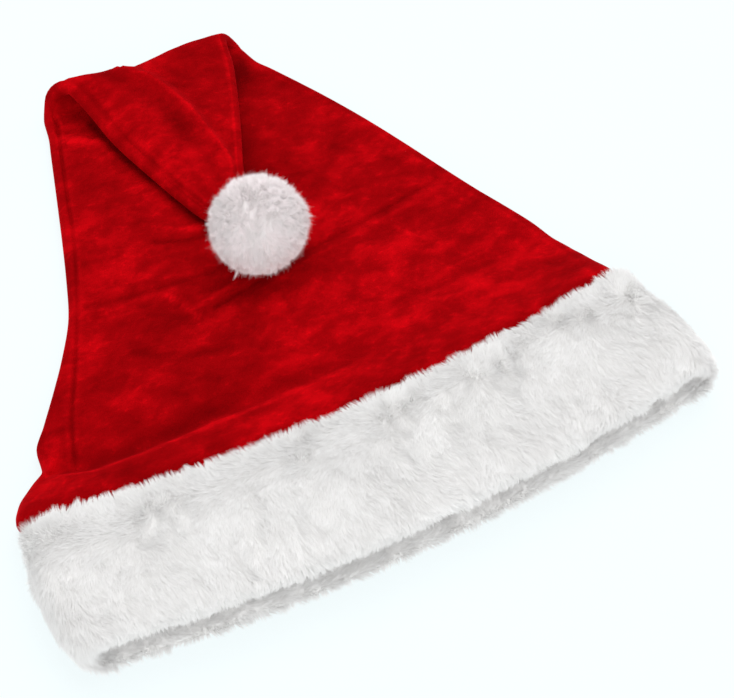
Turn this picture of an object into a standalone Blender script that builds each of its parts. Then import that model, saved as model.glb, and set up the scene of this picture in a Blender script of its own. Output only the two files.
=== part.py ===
"""Plush Santa hat: a velvet crown, a deep fur brim and a fur pompom.

The hat lies on its back panel with its tip folded over forwards, so that the pompom rests on the front
panel. Metres, +Z up: the mouth faces -Y, the fold of the tip is at +Y, and the hat rests on Z = 0.
Sizes are in millimetres. Places in the tables are measured along and across the hat, from the middle
of the line where the crown's side seams meet the fur.
"""

import bisect
import math
import random
from collections import namedtuple

import bmesh
import bpy
from mathutils import Matrix, Vector
from mathutils.bvhtree import BVHTree

METRES_PER_MM = 0.001
# The middle of the whole hat's outline, which becomes the part's origin.
HAT_CENTRE = Vector((-2.8, 69.4, 0.0))

# Cloth and fur thicknesses. The fur's backing is as thick as its folded plush, and its locks stand on it.
VELVET = 1.8
SEWN_GAP = 0.3
FUR_OUTSIDE = 5.0
FUR_INSIDE = 6.0
FUR_LOCK = 2.6

# The head band lies flattened: a loop with straight front and back and round ends.
# Its middle line is the line on which the crown's hem is sewn in between the fur's two sides.
LOOP_HALF_HEIGHT = 11.0
LOOP_CENTRE_Z = 15.0
HEM_LEFT = -152.0
HEM_RIGHT = 144.0
HEM_DEPTH = 10.0
# The band is cut from a cone, so it bows towards the mouth in the middle.
BAND_BOW = 12.0
FUR_END_Y = -11.0
BRIM_HEIGHT = 64.0
UNDER_LIP = 2.0
# The locks lean towards the mouth by this much of their height, and over the velvet at the crown's end.
# Every other lock is a low one.
LOCK_LEAN = 1.4
END_LOCK_LEAN = -1.0
LOW_LOCK_SHARE = 0.4
BRIM_SEED = 5

# Steps round a flattened loop: along its front or back, and round each end.
CROWN_FLAT_STEPS = 24
BRIM_FLAT_STEPS = 34
END_STEPS = 6
ROWS_PER_GAP = 2

# The crown's body. lift is the height of its underside, edge its thickness at the sides, dome the
# further rise of its front panel, and bow how far its middle lies towards the mouth.
Body = namedtuple("Body", "y left right lift edge dome bow")
HEM_EDGE = 2.0 * LOOP_HALF_HEIGHT + VELVET
HEM_LIFT = LOOP_CENTRE_Z - HEM_EDGE / 2.0
HEM_STANDS_OUT = 0.5
HEM_ROWS = tuple(
    Body(y, HEM_LEFT - VELVET / 2.0, HEM_RIGHT + VELVET / 2.0, HEM_LIFT, HEM_EDGE, 0.0, BAND_BOW)
    for y in (FUR_END_Y - HEM_DEPTH, FUR_END_Y + HEM_STANDS_OUT)
)
BODY_ROWS = HEM_ROWS + (
    Body(y=-3.0, left=-156.0, right=143.5, lift=3.0, edge=22.5, dome=2.5, bow=10.0),
    Body(y=6.0, left=-152.5, right=141.5, lift=2.4, edge=18.0, dome=3.0, bow=6.5),
    Body(y=15.0, left=-144.5, right=140.0, lift=1.4, edge=13.5, dome=5.5, bow=3.0),
    Body(y=23.0, left=-136.0, right=138.0, lift=0.5, edge=10.5, dome=7.5, bow=0.5),
    Body(y=34.0, left=-134.5, right=133.5, lift=0.0, edge=9.5, dome=8.0, bow=0.0),
    Body(y=45.0, left=-127.0, right=130.0, lift=0.0, edge=9.5, dome=6.5, bow=0.0),
    Body(y=60.0, left=-116.5, right=123.5, lift=0.0, edge=9.5, dome=4.8, bow=0.0),
    Body(y=76.0, left=-106.0, right=116.0, lift=0.0, edge=9.5, dome=3.0, bow=0.0),
    Body(y=96.0, left=-95.0, right=107.5, lift=0.0, edge=9.5, dome=2.6, bow=0.0),
    Body(y=118.0, left=-87.5, right=98.5, lift=0.0, edge=9.5, dome=2.5, bow=0.0),
    Body(y=140.0, left=-81.0, right=89.0, lift=0.0, edge=9.5, dome=2.3, bow=0.0),
    Body(y=165.0, left=-74.0, right=77.0, lift=0.0, edge=9.2, dome=1.6, bow=0.0),
    Body(y=196.0, left=-65.5, right=60.5, lift=0.0, edge=8.2, dome=1.2, bow=0.0),
    Body(y=207.0, left=-62.5, right=54.5, lift=0.0, edge=7.5, dome=1.6, bow=0.0),
)
# A crease runs along the front panel just above the fur, deep on the left and fading to the right.
CREASE_Y = 7.0
CREASE_DEPTH = 3.0
CREASE_HALF_WIDTH = 4.0
CREASE_END_X = 60.0

# The tip turns over about a line across the crown, loosely on the left and tightly on the right.
# angle is how far it has turned, and roll the height of the loose roll on its back panel, which
# starts at the left edge and ends at ridge, a share of the half width.
Turn = namedtuple("Turn", "angle left right edge dome roll ridge")
Pivot = namedtuple("Pivot", "y z gap")
LEFT_PIVOT = Pivot(y=215.5, z=13.6, gap=6.1)
RIGHT_PIVOT = Pivot(y=216.0, z=9.8, gap=2.3)
TURN_ROWS = (
    Turn(angle=20.0, left=-60.5, right=51.5, edge=7.5, dome=0.0, roll=0.0, ridge=-0.80),
    Turn(angle=55.0, left=-58.0, right=48.5, edge=7.5, dome=0.0, roll=0.0, ridge=-0.70),
    Turn(angle=90.0, left=-55.5, right=46.0, edge=7.5, dome=0.0, roll=0.2, ridge=-0.60),
    Turn(angle=125.0, left=-51.5, right=44.5, edge=7.5, dome=0.5, roll=1.4, ridge=-0.45),
    Turn(angle=160.0, left=-46.5, right=43.0, edge=7.2, dome=1.0, roll=3.0, ridge=-0.25),
)

# Shares of the half width: where the roll leaves the left edge, where it is at its full height, and
# how far past its ridge it ends. The body has no roll, so its ridge only has to lead into the turn's.
ROLL_START = -1.1
ROLL_FULL = -0.6
ROLL_DROP = 0.35
BODY_RIDGE = -0.8

# Where the loose roll begins, the line of the fold dips.
FOLD_DIP = 5.0
FOLD_DIP_X = -22.0
FOLD_DIP_HALF_WIDTH = 20.0
FOLD_DIP_RUN = 12.0

# The folded tip lies on the front panel and narrows towards the pompom.
# under is the height of its lower side at each edge.
Tip = namedtuple("Tip", "left_x left_y right_x right_y under_left under_right edge dome roll ridge")
TIP_ROWS = (
    Tip(-41.5, 201.0, 39.5, 202.0, 16.4, 11.6, edge=7.0, dome=1.5, roll=4.2, ridge=-0.05),
    Tip(-37.5, 180.0, 33.0, 182.0, 14.0, 12.0, edge=6.8, dome=2.0, roll=4.6, ridge=0.18),
    Tip(-30.5, 156.0, 24.0, 158.0, 13.0, 12.6, edge=6.6, dome=2.2, roll=4.0, ridge=0.50),
    Tip(-23.0, 132.0, 14.5, 134.0, 13.0, 13.0, edge=6.6, dome=2.2, roll=2.4, ridge=0.70),
    Tip(-17.5, 117.0, 9.5, 118.0, 13.0, 13.0, edge=6.4, dome=1.6, roll=1.0, ridge=0.80),
    Tip(-11.5, 105.0, 5.0, 106.0, 13.0, 13.0, edge=6.0, dome=0.6, roll=0.0, ridge=0.80),
)
TIP_CAP = 4.0

# One cross-section of the crown, ready to draw: the middle of its left and right edges, how far its
# front panel has turned from facing up, its thickness at the edges, and the rise of its two panels.
Section = namedtuple(
    "Section",
    "left_x left_y left_z right_x right_y right_z turn edge front_dome back_dome bow roll ridge",
)

# Round the fur band: out of the slot at the crown's end, over the outside, round the mouth's lip, up
# the inside and back into the slot. out is measured from the loop's middle line, and lock says how
# far the fur's locks stand up there.
Band = namedtuple("Band", "down out lock")
SLOT_HALF_WIDTH = VELVET / 2.0 + SEWN_GAP
SLOT_DEPTH = HEM_DEPTH + SEWN_GAP
OUTSIDE_ROWS = 8
BAND_ROWS = (
    (Band(down=0.0, out=SLOT_HALF_WIDTH, lock=0.0), Band(down=0.0, out=4.2, lock=0.9))
    + tuple(
        Band(down=4.0 + 51.0 * row / (OUTSIDE_ROWS - 1), out=FUR_OUTSIDE, lock=1.0)
        for row in range(OUTSIDE_ROWS)
    )
    + (
        Band(down=61.5, out=3.2, lock=1.0),
        Band(down=BRIM_HEIGHT, out=-1.5, lock=0.8),
        Band(down=60.0, out=-FUR_INSIDE, lock=0.0),
        Band(down=32.0, out=-FUR_INSIDE, lock=0.0),
        Band(down=4.0, out=-FUR_INSIDE, lock=0.0),
        Band(down=0.5, out=-3.5, lock=0.0),
        Band(down=0.5, out=-SLOT_HALF_WIDTH, lock=0.0),
        Band(down=SLOT_DEPTH, out=-SLOT_HALF_WIDTH, lock=0.0),
        Band(down=SLOT_DEPTH, out=SLOT_HALF_WIDTH, lock=0.0),
    )
)
# How far the loop's middle line reaches to each side.
Width = namedtuple("Width", "down left right")
BAND_WIDTHS = (
    Width(down=0.0, left=HEM_LEFT, right=HEM_RIGHT),
    Width(down=11.0, left=HEM_LEFT, right=HEM_RIGHT),
    Width(down=22.0, left=-157.0, right=147.5),
    Width(down=38.0, left=-158.5, right=151.0),
    Width(down=53.0, left=-156.5, right=152.0),
    Width(down=BRIM_HEIGHT, left=-152.5, right=150.5),
)

# The pompom is a ball of locks, pressed flat where it meets the crown.
POMPOM_CENTRE = Vector((1.0, 86.0, 33.8))
POMPOM_RADIUS = 21.4
POMPOM_LOCK = 3.0
POMPOM_LOCK_EVENNESS = 0.7
POMPOM_SEED = 11
POMPOM_SUBDIVISIONS = 4
# The gap to the crown is measured square to it, down to the steepest slope that a ray can meet.
POMPOM_GAP = 0.4
STEEPEST_SLOPE = 0.35
Tuft = namedtuple("Tuft", "x y z reach half_angle")
POMPOM_TUFTS = (
    Tuft(x=0.93, y=-0.10, z=0.0, reach=3.0, half_angle=22.0),
    Tuft(x=-0.45, y=-0.88, z=-0.1, reach=1.2, half_angle=30.0),
)


def clear_scene():
    for obj in list(bpy.data.objects):
        bpy.data.objects.remove(obj, do_unlink=True)


def plain_material(name, colour, roughness):
    finish = bpy.data.materials.new(name)
    finish.use_nodes = True
    shader = finish.node_tree.nodes["Principled BSDF"]
    shader.inputs["Base Color"].default_value = (*colour, 1.0)
    shader.inputs["Roughness"].default_value = roughness
    shader.inputs["Metallic"].default_value = 0.0
    return finish


def add_object(name, shape, finish, sharp_angle):
    """Make the node from a bmesh in millimetres, with its place in its mesh."""
    bmesh.ops.recalc_face_normals(shape, faces=shape.faces)
    mesh = bpy.data.meshes.new(name)
    shape.to_mesh(mesh)
    shape.free()
    mesh.transform(Matrix.Scale(METRES_PER_MM, 4) @ Matrix.Translation(-HAT_CENTRE))
    mesh.materials.append(finish)
    mesh.shade_smooth()
    mesh.set_sharp_from_angle(angle=math.radians(sharp_angle))
    obj = bpy.data.objects.new(name, mesh)
    bpy.context.scene.collection.objects.link(obj)
    return obj


def smooth_step(start, end, value):
    share = min(max((value - start) / (end - start), 0.0), 1.0)
    return share * share * (3.0 - 2.0 * share)


def slope_at(places, values, index):
    """The slope at a table's row, flat at a peak so that the curve never overshoots it."""
    steps = [
        (values[k + 1] - values[k]) / (places[k + 1] - places[k])
        for k in (index - 1, index)
        if 0 <= k < len(values) - 1
    ]
    if len(steps) == 1:
        return steps[0]
    before, after = steps
    if before * after <= 0.0:
        return 0.0
    return 2.0 * before * after / (before + after)


def read_table(rows, places, place):
    """A row at any place, on smooth curves through the rows' columns."""
    index = min(max(bisect.bisect_right(places, place) - 1, 0), len(rows) - 2)
    span = places[index + 1] - places[index]
    t = (place - places[index]) / span
    columns = []
    for values in zip(*rows):
        start_slope = slope_at(places, values, index) * span
        end_slope = slope_at(places, values, index + 1) * span
        columns.append(
            values[index] * (2.0 * t**3 - 3.0 * t**2 + 1.0)
            + start_slope * (t**3 - 2.0 * t**2 + t)
            + values[index + 1] * (3.0 * t**2 - 2.0 * t**3)
            + end_slope * (t**3 - t**2)
        )
    return type(rows[0])(*columns)


def bow_at(x, bow):
    """How far the loop's middle lies towards the mouth, nothing at its two ends."""
    middle = (HEM_LEFT + HEM_RIGHT) / 2.0
    half = (HEM_RIGHT - HEM_LEFT) / 2.0
    return bow * max(0.0, 1.0 - ((x - middle) / half) ** 2)


def loop_steps(flat_steps):
    """Round a flattened loop, as (where, how far): along the front, right end, back and left end."""
    steps = [("front", k / flat_steps) for k in range(flat_steps)]
    steps += [("right", k / END_STEPS) for k in range(END_STEPS)]
    steps += [("back", k / flat_steps) for k in range(flat_steps)]
    steps += [("left", k / END_STEPS) for k in range(END_STEPS)]
    return steps


def body_section(row):
    middle_z = row.lift + row.edge / 2.0
    return Section(
        row.left, row.y, middle_z, row.right, row.y, middle_z,
        turn=0.0, edge=row.edge, front_dome=row.dome, back_dome=0.0, bow=row.bow,
        roll=0.0, ridge=BODY_RIDGE,
    )


def pivot_point(pivot, row, x):
    """The middle of an edge of the turning tip, out from the pivot in the direction of the turn."""
    angle = math.radians(row.angle)
    reach = pivot.gap + row.edge / 2.0
    return x, pivot.y + reach * math.sin(angle), pivot.z - reach * math.cos(angle)


def turn_section(row):
    return Section(
        *pivot_point(LEFT_PIVOT, row, row.left), *pivot_point(RIGHT_PIVOT, row, row.right),
        turn=row.angle, edge=row.edge, front_dome=0.0, back_dome=row.dome, bow=0.0,
        roll=row.roll, ridge=row.ridge,
    )


def tip_section(row):
    return Section(
        row.left_x, row.left_y, row.under_left + row.edge / 2.0,
        row.right_x, row.right_y, row.under_right + row.edge / 2.0,
        turn=180.0, edge=row.edge, front_dome=0.0, back_dome=row.dome, bow=0.0,
        roll=row.roll, ridge=row.ridge,
    )


def crown_sections():
    sections = [body_section(row) for row in BODY_ROWS]
    sections += [turn_section(row) for row in TURN_ROWS]
    sections += [tip_section(row) for row in TIP_ROWS]
    return sections


def roll_height(section, across):
    """The loose roll rises from the left edge and drops away past its ridge."""
    rise = smooth_step(ROLL_START, ROLL_FULL, across)
    drop = 1.0 - smooth_step(section.ridge, section.ridge + ROLL_DROP, across)
    return section.roll * rise * drop


def fold_dip(point):
    across = math.exp(-(((point.x - FOLD_DIP_X) / FOLD_DIP_HALF_WIDTH) ** 2))
    return FOLD_DIP * across * smooth_step(RIGHT_PIVOT.y - FOLD_DIP_RUN, RIGHT_PIVOT.y, point.y)


def crease_depth(point):
    along = math.exp(-(((point.y - CREASE_Y) / CREASE_HALF_WIDTH) ** 2))
    return CREASE_DEPTH * along * (1.0 - smooth_step(-CREASE_END_X, CREASE_END_X, point.x))


def section_ring(section, inset):
    """The section's outline, or its inner side when inset is the cloth's thickness."""
    left = Vector((section.left_x, section.left_y, section.left_z))
    right = Vector((section.right_x, section.right_y, section.right_z))
    width = (right - left).normalized()
    turn = math.radians(section.turn)
    front = Vector((0.0, -math.sin(turn), math.cos(turn)))
    front = (front - width * front.dot(width)).normalized()
    half_edge = section.edge / 2.0
    left_end = left + width * half_edge
    right_end = right - width * half_edge
    radius = half_edge - inset
    ring = []
    for where, share in loop_steps(CROWN_FLAT_STEPS):
        if where == "front":
            across = 2.0 * share - 1.0
            rise = radius + section.front_dome * (1.0 - across**2)
            point = left_end.lerp(right_end, share) + front * rise
            if section.turn == 0.0:
                point.z -= crease_depth(point)
        elif where == "back":
            across = 1.0 - 2.0 * share
            rise = radius + section.back_dome * (1.0 - across**2) + roll_height(section, across)
            point = right_end.lerp(left_end, share) - front * rise
        else:
            side = 1.0 if where == "right" else -1.0
            angle = math.pi * share
            end = right_end if where == "right" else left_end
            point = end + (front * math.cos(angle) + width * math.sin(angle)) * radius * side
        point.y -= bow_at(point.x, section.bow) + fold_dip(point)
        ring.append(point)
    return ring


def join_rings(shape, first, second):
    count = len(first)
    for k in range(count):
        after = (k + 1) % count
        shape.faces.new((first[k], first[after], second[after], second[k]))


def close_ring(shape, ring, reach):
    """Close the narrow end of the tip to a point that lies beyond its last outline."""
    middle = sum((vertex.co for vertex in ring), Vector()) / len(ring)
    peak = shape.verts.new(middle + Vector((0.0, -reach, 0.0)))
    for k, vertex in enumerate(ring):
        shape.faces.new((vertex, ring[(k + 1) % len(ring)], peak))


def crown_shape():
    """One velvet shell, open at the hem, with the fold and the loose tip in it."""
    table = crown_sections()
    places = list(range(len(table)))
    outer_places = [k / ROWS_PER_GAP for k in range(ROWS_PER_GAP * (len(table) - 1) + 1)]
    shape = bmesh.new()
    outer = [
        [shape.verts.new(point) for point in section_ring(read_table(table, places, place), 0.0)]
        for place in outer_places
    ]
    inner = [[shape.verts.new(point) for point in section_ring(section, VELVET)] for section in table]
    join_rings(shape, outer[0], inner[0])
    for rings in (outer, inner):
        for first, second in zip(rings, rings[1:]):
            join_rings(shape, first, second)
    close_ring(shape, outer[-1], TIP_CAP)
    close_ring(shape, inner[-1], TIP_CAP - VELVET)
    return shape


def brim_shape():
    """The fur band: folded plush all round the head opening, with a slot for the crown's hem."""
    heights = random.Random(BRIM_SEED)
    width_places = [width.down for width in BAND_WIDTHS]
    shape = bmesh.new()
    rings = []
    for row_index, row in enumerate(BAND_ROWS):
        ring = []
        for step_index, (where, share) in enumerate(loop_steps(BRIM_FLAT_STEPS)):
            tall = (row_index + step_index) % 2 == 1
            lock = row.lock * heights.uniform(0.0, 1.0) * (1.0 if tall else LOW_LOCK_SHARE)
            down = row.down + (LOCK_LEAN if row.down > 0.0 else END_LOCK_LEAN) * lock
            width = read_table(BAND_WIDTHS, width_places, min(row.down, BRIM_HEIGHT))
            radius = LOOP_HALF_HEIGHT + row.out + FUR_LOCK * lock
            left_end = width.left + LOOP_HALF_HEIGHT
            right_end = width.right - LOOP_HALF_HEIGHT
            side = -1.0 if where in ("back", "left") else 1.0
            turn = math.pi * share if where in ("right", "left") else 0.0
            along = {"front": share, "right": 1.0, "back": 1.0 - share, "left": 0.0}[where]
            x = left_end + (right_end - left_end) * along + side * radius * math.sin(turn)
            z = LOOP_CENTRE_Z + side * radius * math.cos(turn)
            under = UNDER_LIP * smooth_step(0.0, BRIM_HEIGHT, row.down)
            under *= smooth_step(LOOP_CENTRE_Z, LOOP_CENTRE_Z - LOOP_HALF_HEIGHT, z)
            y = FUR_END_Y - bow_at(x, BAND_BOW) - down - under
            ring.append(shape.verts.new((x, y, max(z, 0.0))))
        rings.append(ring)
    for first, second in zip(rings, rings[1:] + rings[:1]):
        join_rings(shape, first, second)
    return shape


def tuft_reach(direction):
    """How much further than the rest the pompom's larger tufts reach in a direction."""
    reach = 0.0
    for tuft in POMPOM_TUFTS:
        angle = math.degrees(direction.angle(Vector((tuft.x, tuft.y, tuft.z))))
        reach += tuft.reach * (1.0 - smooth_step(0.0, tuft.half_angle, angle))
    return reach


def pompom_shape(crown_surface):
    """A ball of fur locks on a solid heart, pressed back from the crown wherever it meets it."""
    heights = random.Random(POMPOM_SEED)
    shape = bmesh.new()
    bmesh.ops.create_icosphere(shape, subdivisions=POMPOM_SUBDIVISIONS, radius=1.0)
    for vertex in shape.verts:
        direction = vertex.co.normalized()
        lock = POMPOM_LOCK * heights.uniform(0.0, 1.0) ** POMPOM_LOCK_EVENNESS
        radius = POMPOM_RADIUS + lock + tuft_reach(direction)
        _, normal, _, distance = crown_surface.ray_cast(POMPOM_CENTRE, direction)
        if normal is not None:
            clearance = POMPOM_GAP / max(abs(normal.dot(direction)), STEEPEST_SLOPE)
            radius = min(radius, distance - clearance)
        vertex.co = POMPOM_CENTRE + direction * radius
    return shape


def main():
    clear_scene()
    crown = crown_shape()
    bmesh.ops.recalc_face_normals(crown, faces=crown.faces)
    pompom = pompom_shape(BVHTree.FromBMesh(crown))
    velvet = plain_material("red velvet", (0.56, 0.0, 0.012), 0.75)
    plush = plain_material("white plush", (0.86, 0.86, 0.86), 0.95)
    fluff = plain_material("pompom fluff", (0.82, 0.81, 0.82), 0.95)
    add_object("crown", crown, velvet, sharp_angle=50.0)
    add_object("brim", brim_shape(), plush, sharp_angle=70.0)
    add_object("pompom", pompom, fluff, sharp_angle=70.0)


main()
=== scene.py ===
"""Plush Santa hat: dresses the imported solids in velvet, fur and a fluffy pompom, on a pale floor."""

import math
from collections import namedtuple

import bpy
import numpy as np
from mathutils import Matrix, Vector, noise
from mathutils.bvhtree import BVHTree


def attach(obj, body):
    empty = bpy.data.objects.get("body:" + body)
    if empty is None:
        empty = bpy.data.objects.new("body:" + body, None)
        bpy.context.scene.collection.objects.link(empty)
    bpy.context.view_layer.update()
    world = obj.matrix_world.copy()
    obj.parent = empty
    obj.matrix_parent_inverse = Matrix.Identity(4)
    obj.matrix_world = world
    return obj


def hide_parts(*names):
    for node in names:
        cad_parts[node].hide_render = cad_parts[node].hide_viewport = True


bl_info = {
    "name": "Plush Santa Hat",
    "version": (1, 0, 0),
    "blender": (4, 5, 0),
    "location": "3D View > Sidebar > Santa Hat",
    "description": "Makes the hat's velvet crown, fur brim and pompom, with its stage",
    "category": "Object",
}

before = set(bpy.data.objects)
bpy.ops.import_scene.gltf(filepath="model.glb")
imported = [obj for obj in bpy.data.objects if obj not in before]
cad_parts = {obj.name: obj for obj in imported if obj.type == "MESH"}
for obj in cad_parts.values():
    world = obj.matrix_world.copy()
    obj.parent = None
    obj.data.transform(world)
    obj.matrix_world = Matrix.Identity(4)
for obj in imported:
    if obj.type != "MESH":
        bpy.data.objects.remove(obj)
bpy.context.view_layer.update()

# Lengths are in millimetres until a mesh is made. Places are measured from the middle of the line
# where the crown's side seams meet the fur, which lies here in the frame.
METRES_PER_MM = 0.001
HAT_CENTRE = np.array((-2.8, 69.4, 0.0))

VELVET = 1.8
SEWN_GAP = 0.3
LOOP_HALF_HEIGHT = 11.0
LOOP_CENTRE_Z = 15.0
HEM_LEFT = -152.0
HEM_RIGHT = 144.0
HEM_DEPTH = 10.0
BAND_BOW = 12.0
FUR_END_Y = -11.0
BRIM_HEIGHT = 64.0
UNDER_LIP = 2.0

# The crown's body, a row for each cross-section. Each lies on the floor and runs straight across, unless
# its row has a lift or a bow.
Body = namedtuple("Body", "y left right edge dome lift bow", defaults=(0.0, 0.0))
HEM_EDGE = 2.0 * LOOP_HALF_HEIGHT + VELVET
HEM_LIFT = LOOP_CENTRE_Z - HEM_EDGE / 2.0
HEM_ROWS = tuple(
    Body(y, HEM_LEFT - VELVET / 2.0, HEM_RIGHT + VELVET / 2.0, HEM_EDGE, 0.0, HEM_LIFT, BAND_BOW)
    for y in (FUR_END_Y - HEM_DEPTH, FUR_END_Y + 0.5)
)
BODY_ROWS = HEM_ROWS + (
    Body(y=-3.0, left=-156.0, right=143.5, lift=3.0, edge=22.5, dome=2.5, bow=10.0),
    Body(y=6.0, left=-152.5, right=141.5, lift=2.4, edge=18.0, dome=3.0, bow=6.5),
    Body(y=15.0, left=-144.5, right=140.0, lift=1.4, edge=13.5, dome=5.5, bow=3.0),
    Body(y=23.0, left=-136.0, right=138.0, lift=0.5, edge=10.5, dome=7.5, bow=0.5),
    Body(y=34.0, left=-134.5, right=133.5, edge=9.5, dome=8.0),
    Body(y=45.0, left=-127.0, right=130.0, edge=9.5, dome=6.5),
    Body(y=60.0, left=-116.5, right=123.5, edge=9.5, dome=4.8),
    Body(y=76.0, left=-106.0, right=116.0, edge=9.5, dome=3.0),
    Body(y=96.0, left=-95.0, right=107.5, edge=9.5, dome=2.6),
    Body(y=118.0, left=-87.5, right=98.5, edge=9.5, dome=2.5),
    Body(y=140.0, left=-81.0, right=89.0, edge=9.5, dome=2.3),
    Body(y=165.0, left=-74.0, right=77.0, edge=9.2, dome=1.6),
    Body(y=196.0, left=-65.5, right=60.5, edge=8.2, dome=1.2),
    Body(y=207.0, left=-62.5, right=54.5, edge=7.5, dome=1.6),
)

# The turn of the tip, a row for each angle, about a pivot at each of its edges.
Turn = namedtuple("Turn", "angle left right edge dome roll ridge")
Pivot = namedtuple("Pivot", "y z gap")
LEFT_PIVOT = Pivot(y=215.5, z=13.6, gap=6.1)
RIGHT_PIVOT = Pivot(y=216.0, z=9.8, gap=2.3)
TURN_ROWS = (
    Turn(angle=20.0, left=-60.5, right=51.5, edge=7.5, dome=0.0, roll=0.0, ridge=-0.80),
    Turn(angle=55.0, left=-58.0, right=50.5, edge=7.5, dome=0.0, roll=0.0, ridge=-0.70),
    Turn(angle=90.0, left=-55.5, right=48.5, edge=7.5, dome=0.0, roll=0.2, ridge=-0.60),
    Turn(angle=125.0, left=-51.5, right=46.0, edge=7.5, dome=0.5, roll=1.4, ridge=-0.45),
    Turn(angle=160.0, left=-46.5, right=43.0, edge=7.2, dome=1.0, roll=3.0, ridge=-0.32),
)
FOLD_DIP = 7.0
FOLD_DIP_X = -14.0
FOLD_DIP_HALF_WIDTH = 25.0
FOLD_DIP_RUN = 12.0

# The folded tip, down to the pompom.
Tip = namedtuple("Tip", "left_x left_y right_x right_y under_left under_right edge dome roll ridge")
TIP_ROWS = (
    Tip(-41.5, 201.0, 39.5, 202.0, 16.4, 11.6, edge=7.0, dome=1.5, roll=4.2, ridge=-0.12),
    Tip(-37.5, 180.0, 33.0, 182.0, 14.0, 12.0, edge=6.8, dome=2.0, roll=4.6, ridge=0.14),
    Tip(-30.5, 156.0, 24.0, 158.0, 13.0, 12.6, edge=6.6, dome=2.2, roll=4.0, ridge=0.42),
    Tip(-23.0, 132.0, 14.5, 134.0, 13.0, 13.0, edge=6.6, dome=2.2, roll=2.4, ridge=0.80),
    Tip(-17.5, 117.0, 9.5, 118.0, 13.0, 13.0, edge=6.4, dome=1.6, roll=1.0, ridge=0.80),
    Tip(-11.5, 105.0, 5.0, 106.0, 13.0, 13.0, edge=6.0, dome=0.6, roll=0.0, ridge=0.80),
)
TIP_CAP = 4.0

Section = namedtuple(
    "Section",
    "left_x left_y left_z right_x right_y right_z turn edge front_dome back_dome bow roll ridge",
)

# How finely the crown is drawn: rows along the cloth, and steps round each cross-section.
CROWN_ROW_STEP = 1.6
CROWN_INNER_ROW_STEP = 6.0
FRONT_STEPS = 140
BACK_STEPS = 60
END_STEPS = 12
SEAM_STEPS_SHARE = 0.28
SEAM_WIDTH_SHARE = 0.12

# The side seam has rolled onto the front panel, where it runs up through these places.
SeamPlace = namedtuple("SeamPlace", "y x")
SEAM_PLACES = (
    SeamPlace(y=-11.0, x=-128.0),
    SeamPlace(y=18.0, x=-121.5),
    SeamPlace(y=40.0, x=-114.5),
    SeamPlace(y=60.0, x=-105.5),
    SeamPlace(y=103.0, x=-87.5),
    SeamPlace(y=137.0, x=-76.0),
    SeamPlace(y=175.0, x=-66.0),
    SeamPlace(y=211.0, x=-55.5),
)
SEAM_DEPTH = 0.8
SEAM_HALF_WIDTH = 0.9
SEAM_PUFF_HEIGHT = 0.4
SEAM_PUFF_PLACE = 2.4
SEAM_PUFF_HALF_WIDTH = 1.2
SEAM_FADE = (10.0, 24.0)
# The seam's groove is painted darker, as shade, and its puffs painted lighter, as highlights.
SEAM_PAINTED_SHADING = 0.6
TIP_SEAM_INWARDS = 2.0
TIP_SEAM_SHARE = 0.55

# The relief fades out at the sides of a panel, by its place across from -1 to 1, near the fur, and on
# the fold, by how far the cloth has turned in degrees.
RELIEF_FADE = (1.0, 0.975)
CREASE_FADE = (1.0, 0.99)
FREE_OF_FUR = 14.0
BODY_RELIEF_TURNS = (60.0, 0.0)
TIP_RELIEF_TURNS = (60.0, 150.0)

# A painted highlight, standing in for the sheen at the edge, lies along the right edge of the front
# panel, where the cloth turns under, and along the right edge of the folded tip.
RIM_START = 0.95
RIM_PAINTED_HIGHLIGHT = 0.4
TIP_RIM_START = 0.93
TIP_RIM_PAINTED_HIGHLIGHT = 0.7

# Painted shadow and light on the front panel beside the folded tip: a painted dark shadow line below
# its left edge, painted light a little further out, and painted shade on its right and in the notch at
# the end of the fold.
Shade = namedtuple("Shade", "tone distance half_width")
LEFT_SHADES = (Shade(-1.2, 0.0, 2.2), Shade(0.3, 8.0, 5.0))
RIGHT_SHADE = Shade(-0.55, 0.0, 9.0)
LEFT_SHADE_SHIFT = (1.0, 1.5)
Notch = namedtuple("Notch", "x y tone half_width half_length")
NOTCH = Notch(x=45.0, y=203.0, tone=-0.9, half_width=6.0, half_length=12.0)

# The crest of the roll in the folded tip, and the valley beside it. Both grow with the roll. The crest
# carries a painted highlight and the valley painted shade, and the strip left of the roll is painted
# lighter.
ROLL_START = (-1.1, -0.6)
ROLL_DROP_SHARE = 0.22
CREST_HEIGHT = 0.7
CREST_HALF_WIDTH = 1.5
CREST_PAINTED_HIGHLIGHT = 1.1
CREST_ROLLS = (0.0, 2.5)
VALLEY_PLACE = 11.0
VALLEY_HALF_WIDTH = 6.5
VALLEY_DEPTH = 1.6
VALLEY_PAINTED_SHADE = 0.8
VALLEY_ROLLS = (1.0, 4.0)
LEFT_OF_ROLL_START = (-0.98, -0.8)
LEFT_OF_ROLL_END = (-0.1, -0.5)
LEFT_OF_ROLL_PAINTED_LIGHT = 0.25

# Gathers of the tip where the pompom is sewn on, as waves across it, with painted light on their ridges
# and painted shade between them.
GATHER_HEIGHT = 0.5
GATHER_WAVES = 9.0
GATHER_SHIFT = 1.3
GATHER_FADE = (165.0, 118.0)
GATHER_PAINTED_SHADING = 0.4
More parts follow.
